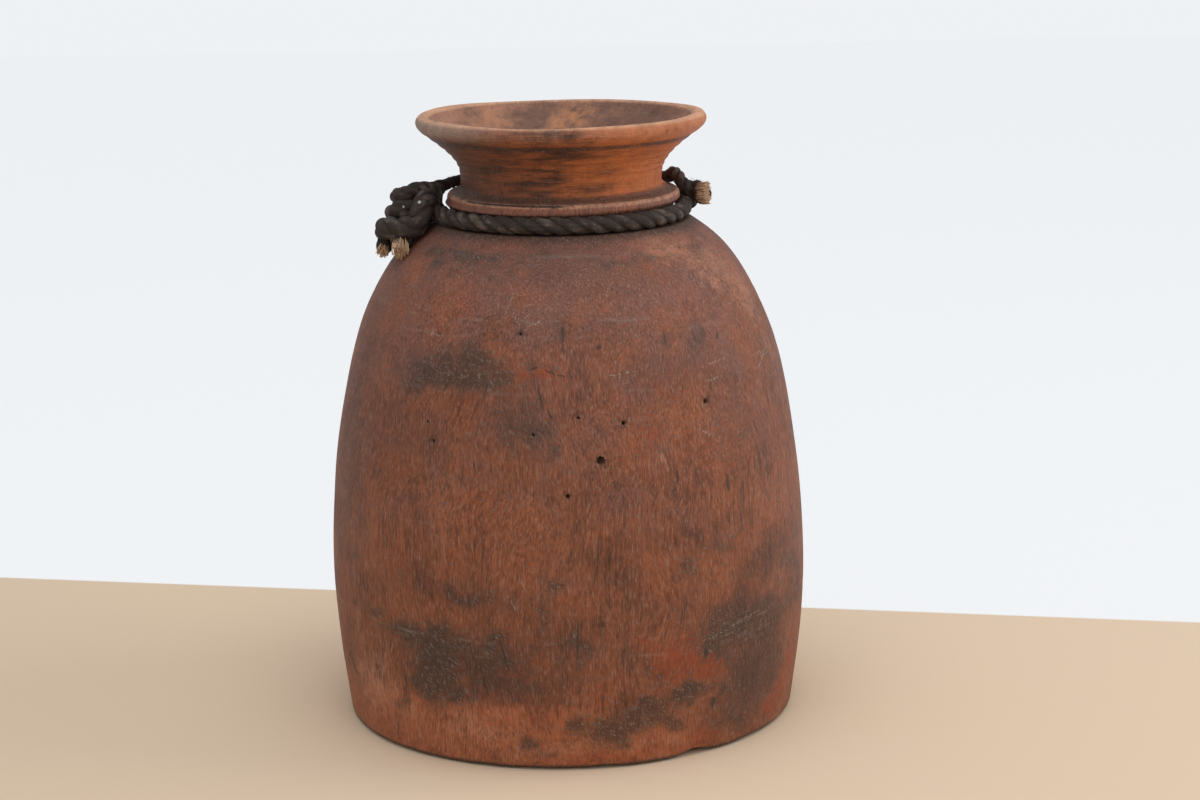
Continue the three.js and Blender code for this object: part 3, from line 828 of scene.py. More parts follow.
# Dark cracks and pits on the front: angle, height, half width, half height and tilt
CRACKS = [
    (2, 66, 0.6, 15, -2), (-6, 181, 0.8, 8, 18), (-3.6, 173, 0.7, 3.5, 24), (0, 208, 0.9, 6, -3),
    (38, 203, 1.3, 4, 0), (46.5, 201, 1.2, 2.4, -20), (28.5, 203.5, 1.0, 4, 0), (-20, 46, 0.9, 11, 12),
    (-7.6, 193.4, 3.4, 0.75, 18), (-3.6, 191.8, 4, 0.7, -22), (-0.6, 190.2, 3.4, 0.5, -8),
    (41, 134, 1.3, 6, 4), (27, 140.5, 1.0, 5, 0), (33, 54, 1.4, 4, 0), (36, 27, 1.8, 4, 0),
    (-15, 60, 1.0, 12, 14), (9.5, 202, 2.2, 1.6, 30),
]

# Millimetres of arc for each degree round the pot
ARC_PER_DEGREE = 2.0

# Half width of a scratch and of a turned ring's pale line, in millimetres
SCRATCH_WIDTH = 0.42
RING_REACH = 0.5

# Height that the rings' ramp spans, in millimetres
RAMP_HEIGHT = 300


def marks_on(wood, plane, marks):
    """The strongest of many small marks."""
    total = None
    for angle, height, half_width, half_height, tilt in marks:
        drawn = wood.mark(plane, angle * ARC_PER_DEGREE, height, half_width, half_height, tilt)
        total = drawn if total is None else total.most(drawn)
    return total


class WoodGrain:
    """Patterns that the wood's colours and its relief share."""

    def __init__(self, wood):
        place = wood.place()
        self.place = place
        self.x, self.y, self.z = wood.split(place)
        self.inside = wood.attribute("inside")
        self.outside = 1 - self.inside
        drift = wood.grain(place, (48, 48, 60), detail=1, output="Color")
        bent = wood.scaled(drift, (16, 16, 0), place)
        self.fibres = wood.grain(bent, (0.7, 0.7, 5.5), rough=0.6)
        self.threads = wood.grain(bent, (1.7, 1.7, 20), 3, rough=0.6)
        self.bands = wood.grain(bent, (8, 8, 55), 7, detail=3, rough=0.6)
        self.hue = wood.grain(bent, (22, 22, 26), 29, detail=3, rough=0.6)
        self.clouds = wood.grain(place, (30, 30, 24), 11, detail=4, rough=0.6)
        self.spots = wood.grain(place, (5.5, 5.5, 6.5), 13, detail=4, rough=0.65)
        self.grit = wood.grain(bent, (0.8, 0.8, 3.4), 19, rough=0.6)
        self.streaks = wood.grain(place, (9, 9, 0.62), 17, detail=3, rough=0.6)
        self.swirls = wood.grain(bent, (26, 26, 4.5), 31, detail=3, rough=0.6)
        turn = wood.node("ShaderNodeMath", {"operation": "ARCTAN2"}, {0: self.x, 1: self.y * -1})
        self.arc = turn * (180 / math.pi * ARC_PER_DEGREE)
        slanted = wood.joined((self.arc - self.z * 0.6) / 4.2, (self.z + self.arc * 0.6) / 1.1, 0)
        self.strokes = wood.noise(slanted, rough=0.6)
        ragged = (self.clouds - 0.5) * 0.8 + (self.threads - 0.5) * 0.9
        self.ember = (wood.attribute("ember") + ragged).between(0.3, 0.9)
        # Darker tones, among them painted shade under the rope and down the left side
        ragged = (self.spots - 0.5) * 1.7 + (self.threads - 0.5) * 1.1
        self.dusk = (wood.attribute("dusk") + ragged).between(0.15, 0.95)
        # Rubbed wood, and painted sheen on the right shoulder and down the right side
        ragged = (self.spots - 0.5) * 0.6 + (self.fibres - 0.5) * 0.9
        self.worn = (wood.attribute("worn") + ragged).between(0.25, 1)


def belly_colour(wood, grain, colours):
    """Belly and shoulder: heartwood, cooler towards the shoulder, with shades, bare and rubbed places, among
    them painted shade and painted sheen.
    """
    tone = grain.bands * 0.6 + grain.clouds * 0.6 + grain.threads * 0.6 - 0.4
    body = wood.mix(tone.between(0.22, 0.52), colours.dark_wood, colours.heartwood)
    body = wood.mix(tone.between(0.5, 0.8) * 0.7, body, colours.light_wood)
    violet = (grain.z * 0.0045 + (grain.hue - 0.5) * 2.2 - 0.35).between(0.05, 0.95)
    body = wood.mix(violet * 0.85, body, colours.violet_wood)
    body = wood.mix((grain.clouds - grain.hue).between(0.02, 0.25) * 0.2, body, colours.ember_wood)
    body = wood.mix(grain.ember * 0.9, body, colours.ember_wood)
    # Painted shade under the rope and down the left side, among darker tones
    body = wood.mix(grain.dusk * 0.88, body, colours.dusk_wood)
    bare = (grain.z - grain.spots * 16 - grain.threads * 8).between(22, 17) * grain.x.between(72, 50)
    body = wood.mix(bare * 0.6, body, colours.bare_wood)
    # Rubbed wood, and painted sheen on the right shoulder and down the right side
    return wood.mix(grain.worn * 0.6, body, colours.worn_and_sheen_wood)


def neck_colour(wood, grain, colours):
    """Neck: streaks that run round it, orange on the right."""
    streaks, swirls, x = grain.streaks, grain.swirls, grain.x
    tone = streaks * 0.55 + swirls * 0.9 - 0.22
    neck = wood.mix(tone.between(0.35, 0.62), colours.neck_dark, colours.heartwood)
    orange = (swirls * 0.9 + streaks * 0.25 + x / 100 - 0.04).between(0.35, 0.9)
    neck = wood.mix(orange * 0.9, neck, colours.neck_orange)
    dashes = (streaks * 0.75 + grain.spots * 0.25).between(0.39, 0.3)
    neck = wood.mix(dashes * 0.7, neck, colours.grease_and_shade)
    return wood.mix(x.between(-15, -52) * 0.65, neck, colours.neck_brown)


def mouth_colour(wood, grain, colours):
    """Inside of the mouth: painted shade darker further down, with a pale knot at the back."""
    tone = grain.hue * 0.6 + grain.swirls * 0.4 + grain.threads * 0.3
    tone = tone - wood.attribute("grease_and_shade") * 0.5 - 0.15
    mouth = wood.mix(tone.between(0.2, 0.66), colours.mouth_dark, colours.inner_wood)
    knot = wood.attribute("ember") * grain.spots.between(0.38, 0.58)
    mouth = wood.mix(knot * 0.8, mouth, colours.mouth_knot)
    # Painted shade: darker deeper in the neck
    return wood.mix(grain.z.between(283, 258), mouth, colours.throat_shade)


def rubbed_edges(wood, grain, colours, body):
    """Rubbed lip and crest, and the collar's worn side and edge, with painted highlight on the crest, on the
    collar's edge and on the lip's right.
    """
    x, z, spots = grain.x, grain.z, grain.spots
    lip = z.between(290.5, 295) * grain.outside
    # Rubbed lip, lighter towards the right as painted highlight
    body = wood.mix(lip * (spots * 0.9 - 0.24 + x / 300), body, colours.worn_and_sheen_wood)
    body = wood.mix(lip * x.between(-20, -65) * 0.6, body, colours.lip_grey)
    side = z.within(256.8, 258.4, 261, 262) * grain.outside
    body = wood.mix(side * 0.35, body, colours.collar_side)
    # Rubbed, and painted highlight along the lip's crest and the collar's upper edge
    crest = z.between(298.2, 299.6) * (0.5 + spots)
    edge = z.within(259.6, 261, 262, 263) * spots.between(0.3, 0.55) * grain.outside
    return wood.mix(crest.most(edge * 0.7).least(1) * 0.75, body, colours.crest)


def weathered_fibres(wood, grain, colours, body):
    """Light and dark along the fibres, less of it where the wood is smooth, bare or shaded; the pale fibres
    are partly painted glints.
    """
    rugged = 0.95 - grain.x * 0.0022
    smooth = grain.z.between(268, 261) * 0.8 + 0.2
    shade = ((grain.fibres - 0.5) * rugged * 0.9 + (grain.threads - 0.5) * 0.7) * smooth
    shade = shade + (grain.spots - 0.5) * 1.1 + (grain.clouds - 0.5) * 0.8 + 1
    shade = shade.most(0.3)
    body = wood.mix(1, body, wood.joined(shade, shade, shade), "MULTIPLY")
    lint = grain.grit * 0.6 + grain.fibres * 0.4
    smooth = smooth * (1 - grain.ember * 0.6) * (1 - grain.dusk * 0.4)
    # Pale fibres, partly painted glints where raised grain catches the light
    body = wood.mix(lint.between(0.5, 0.72) * smooth * 0.44, body, colours.pale_lint_and_glints)
    return wood.mix(lint.between(0.49, 0.3) * smooth * 0.55, body, colours.dark_lint)


def dirt_and_painted_shade(wood, grain):
    """How much old dirt and painted shade there is: dirt ragged along short slanted strokes, painted shade in
    corners and cut lines, under the rope and the lip and along the foot's edge.
    """
    x, y, z, spots, strokes = grain.x, grain.y, grain.z, grain.spots, grain.strokes
    ragged = (spots - 0.5) * 1.3 + (strokes - 0.5) * 1.1
    ragged = ragged + (grain.fibres - 0.5) * 0.9 + (grain.clouds - 0.5) * 0.6
    # Old dirt, and thin bands of painted shade under the rope
    grease_and_shade = (wood.attribute("grease_and_shade") * grain.outside * 1.3 + ragged).between(0.3, 1.05) * 0.76
    stain = (grain.clouds * 0.6 + spots * 0.5 + strokes * 0.5).between(0.83, 1.06) * 0.6
    # Painted shade: under the rope on its seat, in the corner at the neck's foot, and along the foot's bottom
    # edge
    seat = z.within(243, 247.5, 256, 257.4) * grain.outside * 0.75
    shelf = z.within(261.8, 262.3, 264, 266) * 0.6
    foot = z.between(3.6, 1.2) * 0.85
    reach = (x * x + y * y) ** 0.5
    # Painted shade in the collar's cut line and under the lip
    incised = z.within(260.8, 261.2, 261.7, 262.1) * x.within(-48, -44, -1, 3)
    incised = incised * reach.between(53, 54.5) * y.between(0, -8)
    under_lip = z.within(287.6, 289, 290, 291.2) * spots.between(0.3, 0.5) * 0.8
    lines = incised.most(under_lip) * grain.outside
    return grease_and_shade.most(stain).most(shelf).most(lines).most(seat).most(foot)


def turned_rings(wood, grain):
    """How much of each turned ring shows, from its height on a ramp that spans the whole pot."""
    stops = [(0, 0), (1, 0)]
    for height, _, depth, _ in RINGS:
        stops += [
            ((height - RING_REACH) / RAMP_HEIGHT, 0), (height / RAMP_HEIGHT, depth * 3),
            ((height + RING_REACH) / RAMP_HEIGHT, 0)]
    level = (grain.z + (grain.clouds - 0.5) * 7 + (grain.spots - 0.5)) / RAMP_HEIGHT
    patchy = (grain.hue * 0.5 + grain.spots * 0.5).between(0.46, 0.6)
    return (wood.levels(level, stops) * grain.outside * patchy).least(1)


def pale_marks(wood, grain, plane, halo, grease_and_shade):
    """Scratches, scuffs, turned rings, and pale dusty flecks that are partly painted glints."""
    grit = grain.grit
    hatch = wood.noise(wood.joined(grain.arc / 12, (grain.z - grain.arc * 0.13) / 0.75, 0), detail=1)
    hatch = hatch.between(0.56, 0.7) * wood.attribute("scuffed") * grit.between(0.35, 0.6)
    scored = [(angle, height, reach, SCRATCH_WIDTH, tilt) for angle, height, reach, tilt in SCRATCHES]
    scratches = marks_on(wood, plane, scored).between(0.05, 0.35) * grit.between(0.42, 0.6)
    # Pale flecks, mostly on the greasy patches: partly dust, partly painted glints
    flecks = (grain.strokes * 0.65 + grit * 0.35).between(0.51, 0.66) * (0.12 + grease_and_shade * 0.88)
    pale = (scratches * 0.6).most(hatch * 0.45).most(turned_rings(wood, grain) * 0.55)
    return pale.most(flecks * 0.5).most(halo * flecks * 2)


def wood_finish(colours):
    wood = Finish("aged_wood")
    grain = WoodGrain(wood)
    grit, spots, fibres = grain.grit, grain.spots, grain.fibres
    body = belly_colour(wood, grain, colours)
    body = wood.mix(grain.z.between(262, 265.5) * grain.outside, body, neck_colour(wood, grain, colours))
    body = wood.mix(grain.inside, body, mouth_colour(wood, grain, colours))
    body = rubbed_edges(wood, grain, colours, body)
    body = weathered_fibres(wood, grain, colours, body)
    # Old dirt, and painted shade in corners and cut lines, under the rope and the lip and along the foot
    grease_and_shade = dirt_and_painted_shade(wood, grain)
    body = wood.mix(grease_and_shade, body, colours.grease_and_shade)

    # Scratches, cracks and worm holes, with painted glints among the pale flecks and painted shade inside the
    # holes
    jitter = wood.grain(grain.place, (3, 3, 3), 23, detail=1, output="Color")
    plane = wood.scaled(jitter, (1.4, 1.4, 0), wood.joined(grain.arc, grain.z, 0))
    halo = wood.attribute("halo")
    body = wood.mix(pale_marks(wood, grain, plane, halo, grease_and_shade), body, colours.dust_and_glints)
    cracks = marks_on(wood, plane, CRACKS).between(0.05, 0.5) * spots.between(0.3, 0.45)
    pores = (grit * 0.6 + spots * 0.4).between(0.38, 0.3) * 0.7
    # Painted shade inside the worm holes
    bore_shade = wood.attribute("bore_shade")
    dark = cracks.most(halo * grit.between(0.62, 0.4) * 0.85).most(bore_shade).most(pores)
    body = wood.mix(dark * 0.8, body, colours.grease_and_shade)

    relief = fibres * 0.5 + grain.threads * 0.3 + grit * 0.35 + spots * 0.3 - pores * 0.4
    relief = relief + grain.streaks * grain.z.between(261, 264.5)
    rough = 0.47 + spots * 0.25 - grease_and_shade * 0.08 + fibres * 0.12 + bore_shade * 0.3
    wood.surface(
        base_color=body, roughness=rough, normal=wood.bump(relief, 0.6), specular_ior_level=0.38)
    return wood.material


def rope_route(shape):
    """Middle of the rope: from its right end round the front, and through the left knot to its left end."""
    right_knot = [
        (10, 4.5, 5.5), (9, 11.5, 6), (6, 18, 6.4), (1.5, 21, 5.4), (-0.6, 17.5, 3), (0.4, 10, 0.8),
    ]
    left_knot = [
        (0.6, -15, 0.9), (-5, -9.3, 0.9), (-11.1, -7.8, 2), (-17.6, -8.6, 2.4), (-21.6, -3.5, -1.2),
        (-18.6, 3.8, -3.1), (-11.1, 6, -0.2), (-5.3, 0.5, 4.6), (-5.7, -9.5, 6.4), (-7.8, -17.8, 2.8),
        (-10.2, -20.5, -3.5), (-17.1, -20, -5.6), (-24.1, -15.5, -6), (-26.4, -8, -8),
        (-23, -4, -10.6), (-19.4, -9.5, -10.4), (-18.2, -16, -10.9), (-18.3, -21.6, -12.4),
    ]
    angles = (0, -10, -20, -40, -60, -80, -100, -120, -140)
    front = [on_ring(shape.ring_radius, angle, shape.ring_height) for angle in angles]
    last_step = on_ring(shape.ring_radius, -157, shape.ring_height + 0.2 * MM)
    points = from_ring(shape, 1, right_knot) + front + [last_step] + from_ring(shape, -1, left_knot)
    return smooth_line(points)


def cord_route(shape):
    """Middle of the cord: from its left end through the knot, round the back on the collar, over the rope."""
    left_knot = [
        (-27.4, -12.5, -16.2), (-27.2, -6, -14.4), (-23.8, 1.5, -11.2), (-17.6, 3, -9.2),
        (-10.1, -1, -4.8), (-3.8, -4, -0.8), (-0.9, -5.5, 3.4), (-1.2, -5.6, 7.6), (-4.6, -5.6, 10.9),
        (-10, -7.4, 11.6), (-16, -9, 9.8), (-20.4, -4.5, 8.2), (-16.5, 2, 7.8), (-10, 3.4, 9),
        (-4, 4, 9.8),
    ]
    right_knot = [
        (-6.2, 28, 11), (-3.9, 20.5, 13.6), (-1.6, 13.6, 12.2), (1.8, 9.4, 7.2), (4.4, 12.4, 1.6),
        (3.8, 18, -1),
    ]
    angles = (172, 158, 140, 120, 100, 80, 60, 42)
    back = [on_ring(shape.cord_radius, angle, shape.cord_height) for angle in angles]
    return smooth_line(from_ring(shape, -1, left_knot) + back + from_ring(shape, 1, right_knot))


def on_ring(radius, angle, height):
    """Point of a level ring, at an angle in degrees from the right."""
    turn = math.radians(angle)
    return (radius * math.cos(turn), radius * math.sin(turn), height)


def from_ring(shape, side, points):
    """Knot points in metres, from places in millimetres beside where the ring crosses the pot's side."""
    return [
        (side * shape.ring_radius + x * MM, y * MM, shape.ring_height + z * MM) for x, y, z in points]


def length_of(line):
    return float(np.linalg.norm(np.diff(line, axis=0), axis=1).sum())


def moving_frames(line):
    """Directions along a line and across it, turned as little as possible from point to point."""
    along = np.gradient(line, axis=0)
    along /= np.linalg.norm(along, axis=1)[:, None]
    across = [np.cross(along[0], (0.3, 0.2, 1.0))]
    for direction in along:
        side = across[-1] - direction * (across[-1] @ direction)
        across.append(side / np.linalg.norm(side))
    side = np.array(across[1:])
    return along, side, np.cross(along, side)


class LaidCord:
    """A cord's line and sizes, with a coarse copy of the line that the turns of both cords keep off."""

    def __init__(self, name, line, diameter, lay, knots, step, sides):
        self.name = name
        self.line = line
        self.diameter = diameter
        self.lay = lay
        self.knots = knots
        self.step = step
        self.sides = sides
        self.length = length_of(line)
        self.coarse = evenly(line, int(self.length / COARSE_STEP))
        self.run = np.linspace(0, self.length, len(self.coarse))


def press_apart(corners, own, cord, other, allowance):
    """Moves a tube's surface back where another turn lies, so that both turns give way alike."""
    for start in range(0, len(corners), POINTS_AT_A_TIME):
        part = corners[start:start + POINTS_AT_A_TIME]
        for near_cord in (cord, other):
            away = part[:, None, :] - near_cord.coarse[None, :, :]
            reach = np.linalg.norm(away, axis=2)
            if near_cord is cord:
                apart = np.abs(own[start:start + POINTS_AT_A_TIME, None] - cord.run[None, :])
                reach = np.where(apart < OWN_REACH * cord.diameter, 1.0, reach)
            nearest = reach.argmin(axis=1)
            rows = np.arange(len(part))
            gap = reach[rows, nearest]
            depth = np.clip(near_cord.diameter / 2 - allowance - gap, 0, None)
            direction = away[rows, nearest] / np.maximum(gap, 1e-6)[:, None]
            part += direction * depth[:, None]


def keep_off_pot(corners):
    """Moves a tube's surface out of the pot's shoulder, seat and collar, square to their outline.

    The collar isn't quite centred, so the tube keeps as far off as it needs at any turn.
    """
    shape = bpy.context.scene.pot_shape
    outline = evenly(np.array(outer_outline(shape)), 1600)
    lowest, highest = 222 * MM, 285 * MM
    near = outline[(outline[:, 1] > lowest) & (outline[:, 1] < highest)]
    along = np.gradient(near, axis=0)
    along /= np.linalg.norm(along, axis=1)[:, None]
    outwards = np.stack([along[:, 1], -along[:, 0]], axis=1)
    least_gap = 0.3 * MM
    most_push = 3 * MM
    for start in range(0, len(corners), POINTS_AT_A_TIME):
        part = corners[start:start + POINTS_AT_A_TIME]
        radius = np.hypot(part[:, 0], part[:, 1])
        flat = np.stack([radius, part[:, 2]], axis=1)
        away = flat[:, None, :] - near[None, :, :]
        nearest = np.linalg.norm(away, axis=2).argmin(axis=1)
        rows = np.arange(len(part))
        height = (away[rows, nearest] * outwards[nearest]).sum(axis=1)
        gap = least_gap + abs(shape.collar_shift) * band(flat[:, 1] / MM, *BESIDE_COLLAR)
        push = np.clip(gap - height, 0, most_push)
        flat += outwards[nearest] * push[:, None]
        part[:, :2] *= (flat[:, 0] / radius)[:, None]
        part[:, 2] = flat[:, 1]


def laid_tube(cord, other, allowance, seed):
    """A laid cord along its line: its section is a ring of strands that turns once in each lay.

    At its knots it is looser, and so thicker by a share.
    """
    lump = 3.5 * MM
    knot_end = 8 * MM
    count = int(cord.length / cord.step) + 1
    middle = evenly(cord.line, count)
    _, side, up = moving_frames(middle)
    run = np.linspace(0, cord.length, count)
    across = STRANDS * cord.sides
    turn = np.linspace(0, 2 * math.pi, across, endpoint=False)
    # Each strand is a circle half the rope's size, so strands overlap and leave a groove between them.
    local = (turn + math.pi / STRANDS) % (2 * math.pi / STRANDS) - math.pi / STRANDS
    strand = 0.5 * np.cos(local) + np.sqrt(0.25 - (0.5 * np.sin(local)) ** 2)
    section = cord.diameter / 2 * (0.58 + 0.42 * strand)
    random = np.random.default_rng(seed)
    lumps = random.normal(0, 1, int(run[-1] / lump) + 3)
    swell = 1 + 0.025 * np.interp(run / lump, np.arange(len(lumps)), lumps)
    swell = np.minimum(swell, 1.02)
    for first, last, share in cord.knots:
        swell += share * band(run, first, first + knot_end, last - knot_end, last)
    angles = turn[None, :] + 2 * math.pi * run[:, None] / cord.lay
    reach = section[None, :] * swell[:, None]
    corners = (
        middle[:, None, :] + side[:, None, :] * (np.cos(angles) * reach)[:, :, None]
        + up[:, None, :] * (np.sin(angles) * reach)[:, :, None])
    corners = corners.reshape(-1, 3)
    own = np.repeat(run, across)
    press_apart(corners, own, cord, other, allowance)
    keep_off_pot(corners)
    first = len(corners)
    corners = np.vstack([corners, middle[0], middle[-1]])
    rows, columns = np.arange(count - 1)[:, None], np.arange(across)[None, :]
    after = (columns + 1) % across
    quads = np.stack([
        rows * across + columns, rows * across + after,
        (rows + 1) * across + after, (rows + 1) * across + columns], axis=-1).reshape(-1, 4)
    last = (count - 1) * across
    faces = quads.tolist()
    faces += [[first, (i + 1) % across, i] for i in range(across)]
    faces += [[first + 1, last + i, last + (i + 1) % across] for i in range(across)]
    piece = new_mesh(cord.name, corners, faces)
    write_uv(piece, own, np.tile(turn, count))
    only(piece)
    bpy.ops.object.shade_smooth()
    return piece, middle


def ring_of(middle, across, up, turn, width, sides):
    """Corners round a point of a thin fibre."""
    spins = [turn + 2 * math.pi * corner / sides for corner in range(sides)]
    return [middle + (across * math.cos(spin) + up * math.sin(spin)) * width for spin in spins]


def fibre_faces(first, rings, sides):
    """Faces of a fibre whose rings of corners start at first, closed at both ends."""
    faces = []
    for ring in range(rings - 1):
        for corner in range(sides):
            a = first + ring * sides + corner
            b = first + ring * sides + (corner + 1) % sides
            faces.append((a, b, b + sides, a + sides))
    faces.append(tuple(first + sides - 1 - i for i in range(sides)))
    faces.append(tuple(first + (rings - 1) * sides + i for i in range(sides)))
    return faces


def add_hairs(piece, middle, radius, count, seed):
    """Short fibres that stand off a rope, joined to it."""
    hair_radius = 0.06 * MM
    shares = (0, 0.4, 0.75, 1)
    random = np.random.default_rng(seed)
    along, side, up = moving_frames(middle)
    corners, faces = [], []
    for _ in range(count):
        at = random.integers(8, len(middle) - 8)
        turn = random.random() * 2 * math.pi
        out = side[at] * math.cos(turn) + up[at] * math.sin(turn)
        across = np.cross(along[at], out)
        lean = along[at] * random.choice((-1, 1)) + across * random.normal(0, 0.6)
        length = (1.2 + 1.6 * random.random()) * MM
        faces += fibre_faces(len(corners), len(shares), 3)
        for t in shares:
            point = middle[at] + out * (radius * 0.93 + length * 0.6 * t * (1.25 - 0.5 * t))
            point += lean * length * 0.7 * t
            corners += ring_of(point, out, across, 0, hair_radius * (1.2 - t), 3)
    corners = np.array(corners)
    keep_off_pot(corners)
    hairs = new_mesh("hairs", corners, faces)
    only(piece)
    hairs.select_set(True)
    bpy.ops.object.join()


def write_uv(piece, run, turn):
    """UV of a laid tube: turns round it, and length along it in centimetres."""
    layer = piece.data.uv_layers.new(name="lay")
    around = np.append(turn / (2 * math.pi), [0, 0])
    length = np.append(run / 0.01, [0, run[-1] / 0.01])
    corner = np.zeros(len(piece.data.loops), int)
    piece.data.loops.foreach_get("vertex_index", corner)
    uv = np.stack([around[corner], length[corner]], axis=1)
    starts = np.zeros(len(piece.data.polygons), int)
    totals = np.zeros(len(piece.data.polygons), int)
    piece.data.polygons.foreach_get("loop_start", starts)
    piece.data.polygons.foreach_get("loop_total", totals)
    for start, total in zip(starts, totals):
        part = uv[start:start + total, 0]
        if part.max() - part.min() > 0.5:
            part[part < 0.5] += 1
    layer.data.foreach_set("uv", uv.ravel())


def rope_finish(colours, name, lay, specks):
    """Blackened laid fibre: yarns lie along the rope, and the strands' crowns are rubbed grey with a painted
    highlight, with painted shade in the grooves between them.
    """
    rope = Finish(name)
    around, run, _ = rope.split(rope.node("ShaderNodeUVMap", {"uv_map": "lay"}))
    place = rope.place()
    strand = rope.node("ShaderNodeMath", {"operation": "FRACT"}, {0: around * STRANDS + 0.5})
    crown = (1 - (strand * 2 - 1) * (strand * 2 - 1)).between(0.1, 0.95)
    yarn_turn = (around + run * (0.01 / lay)) * (2 * math.pi * STRANDS * 3)
    wander = rope.grain(place, (2.4, 2.4, 2.4), detail=3, rough=0.6)
    yarn = rope.node("ShaderNodeMath", {"operation": "SINE"}, {0: yarn_turn + wander * 5}) * 0.5 + 0.5
    hair = rope.noise(rope.joined(around * STRANDS * 7, run * 6, 0), detail=3, rough=0.7)
    lint = rope.grain(place, (0.7, 0.7, 0.7), 3, rough=0.6)
    dirt = rope.grain(place, (7, 7, 7), 5, detail=3)
    # Rubbed, and painted highlight on the strands' crowns
    rubbed = (0.4 + crown * 0.6) * (hair * 0.7 + lint * 0.45 + yarn * 0.15) * dirt.between(0.25, 0.75)
    shade = rope.mix(rubbed.between(0.2, 0.75), colours.rope, colours.rubbed_crown_highlight)
    tufts = (lint * 0.6 + hair * 0.4).between(0.56, 0.72) * 0.6
    shade = rope.mix(tufts, shade, colours.rope_tufts)
    # Painted shade in the grooves between the strands
    shade = rope.mix(crown.between(0.3, 0.0) * 0.4, shade, colours.rope_groove_shade)
    for x, y, z, radius in specks:
        away = rope.node("ShaderNodeVectorMath", {"operation": "DISTANCE"}, {
            0: place, 1: (x, y, z)}, output="Value")
        speck = (away + (hair - 0.5)).between(radius, radius * 0.6)
        shade = rope.mix(speck * 0.8, shade, colours.specks)
    relief = crown * 0.2 + yarn * 0.35 + hair * 0.7 + lint * 0.8
    rope.surface(
        base_color=shade, roughness=0.78 - rubbed * 0.15, normal=rope.bump(relief, 0.5),
        specular_ior_level=0.35)
    return rope.material


def frayed_end(name, root, direction, length, neck, flare, count, seed):
    """A cut and frayed end: many tapered fibres that leave the rope and splay."""
    rings, sides = 6, 4
    sunk = 1.2 * MM
    random = np.random.default_rng(seed)
    direction = Vector(direction).normalized()
    side = direction.orthogonal().normalized()
    up = direction.cross(side)
    corners, faces, tips = [], [], []
    for _ in range(count):
        spread = math.sqrt(random.random())
        turn = random.random() * 2 * math.pi
        out = (side * math.cos(turn) + up * math.sin(turn)) * spread
        start = Vector(root) + out * neck
        lean = out * (flare - neck)
        stray = Vector(random.normal(0, 1, 3)) * length * 0.05
        reach = length * (0.88 + 0.16 * random.random()) * (1 - 0.05 * spread)
        thick = (0.26 + 0.2 * random.random()) * MM
        bow = Vector(random.normal(0, 1, 3)) * length * 0.06
        faces += fibre_faces(len(corners), rings, sides)
        for ring in range(rings):
            t = ring / (rings - 1)
            middle = start + direction * (reach * t - sunk) + lean * t**1.4 + stray * t * t
            middle += bow * math.sin(math.pi * t)
            corners += ring_of(middle, side, up, turn, thick * (1 - 0.55 * t), sides)
            tips += [t] * sides
    piece = new_mesh(name, corners, faces)
    write_attribute(piece, "tip", np.array(tips))
    only(piece)
    bpy.ops.object.shade_smooth()
    return piece


def fibre_finish(colours):
    fibre = Finish("frayed_fibre")
    place = fibre.place()
    streak = fibre.grain(place, (0.7, 0.7, 1.4))
    patch = fibre.grain(place, (2.6, 2.6, 2.6), 9)
    bleached = (fibre.attribute("tip") * 1.5 + (patch - 0.5) * 1.6).between(0.05, 0.9)
    shade = fibre.mix(bleached, colours.fibre_root, colours.fibre)
    shade = fibre.mix(streak.between(0.55, 0.75) * 0.5, shade, colours.fibre_dry)
    fibre.surface(
        base_color=shade, roughness=0.85, normal=fibre.bump(streak, 0.2), specular_ior_level=0.25)
    return fibre.material


def dress(piece, material, body, slot, *nodes):
    """Gives a piece its material and body, and hides the CAD nodes it takes the place of. The slot isn't
    used.
    """
    piece.data.materials.clear()
    piece.data.materials.append(material)
    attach(piece, body)
    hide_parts(*nodes)


def place_camera(scene):
    turn = Matrix.Rotation(CAMERA_YAW, 3, "Z") @ Matrix.Rotation(math.pi / 2 - CAMERA_PITCH, 3, "X")
    turn = turn @ Matrix.Rotation(-CAMERA_ROLL, 3, "Z")
    bpy.ops.object.camera_add(location=CAMERA_PLACE, rotation=turn.to_euler())
    camera = bpy.context.active_object
    camera.data.lens = CAMERA_LENS
    camera.data.sensor_width = CAMERA_SENSOR
    scene.camera = camera


def lay_floor(colours):
    """A pale bench that ends behind the pot, and a white floor further back."""
    deselect()
    bpy.ops.mesh.primitive_plane_add(size=8, location=(0, 0, 0))
    ground = bpy.context.active_object
    ground.name = "stage_floor"
    finish = Finish("pale_floor")
    x, y, _ = finish.split(finish.place())
    back = (y + x * BENCH_SLOPE - BENCH_END).between(-BENCH_BLUR, BENCH_BLUR)
    finish.surface(
        base_color=finish.mix(back, colours.bench, colours.back_floor), roughness=0.75,
        specular_ior_level=0.1, emission_strength=0.9,
        emission_color=finish.mix(back, (0, 0, 0), colours.backdrop))
    ground.data.materials.append(finish.material)


def hang_lamps():
    for name, location, width, power in LAMPS:
        aim = (Vector(LAMP_AIM) - Vector(location)).to_track_quat("-Z", "Y").to_euler()
        bpy.ops.object.light_add(type="AREA", location=location, rotation=aim)
        lamp = bpy.context.active_object
        lamp.name = name
        lamp.data.size = width
        lamp.data.energy = power


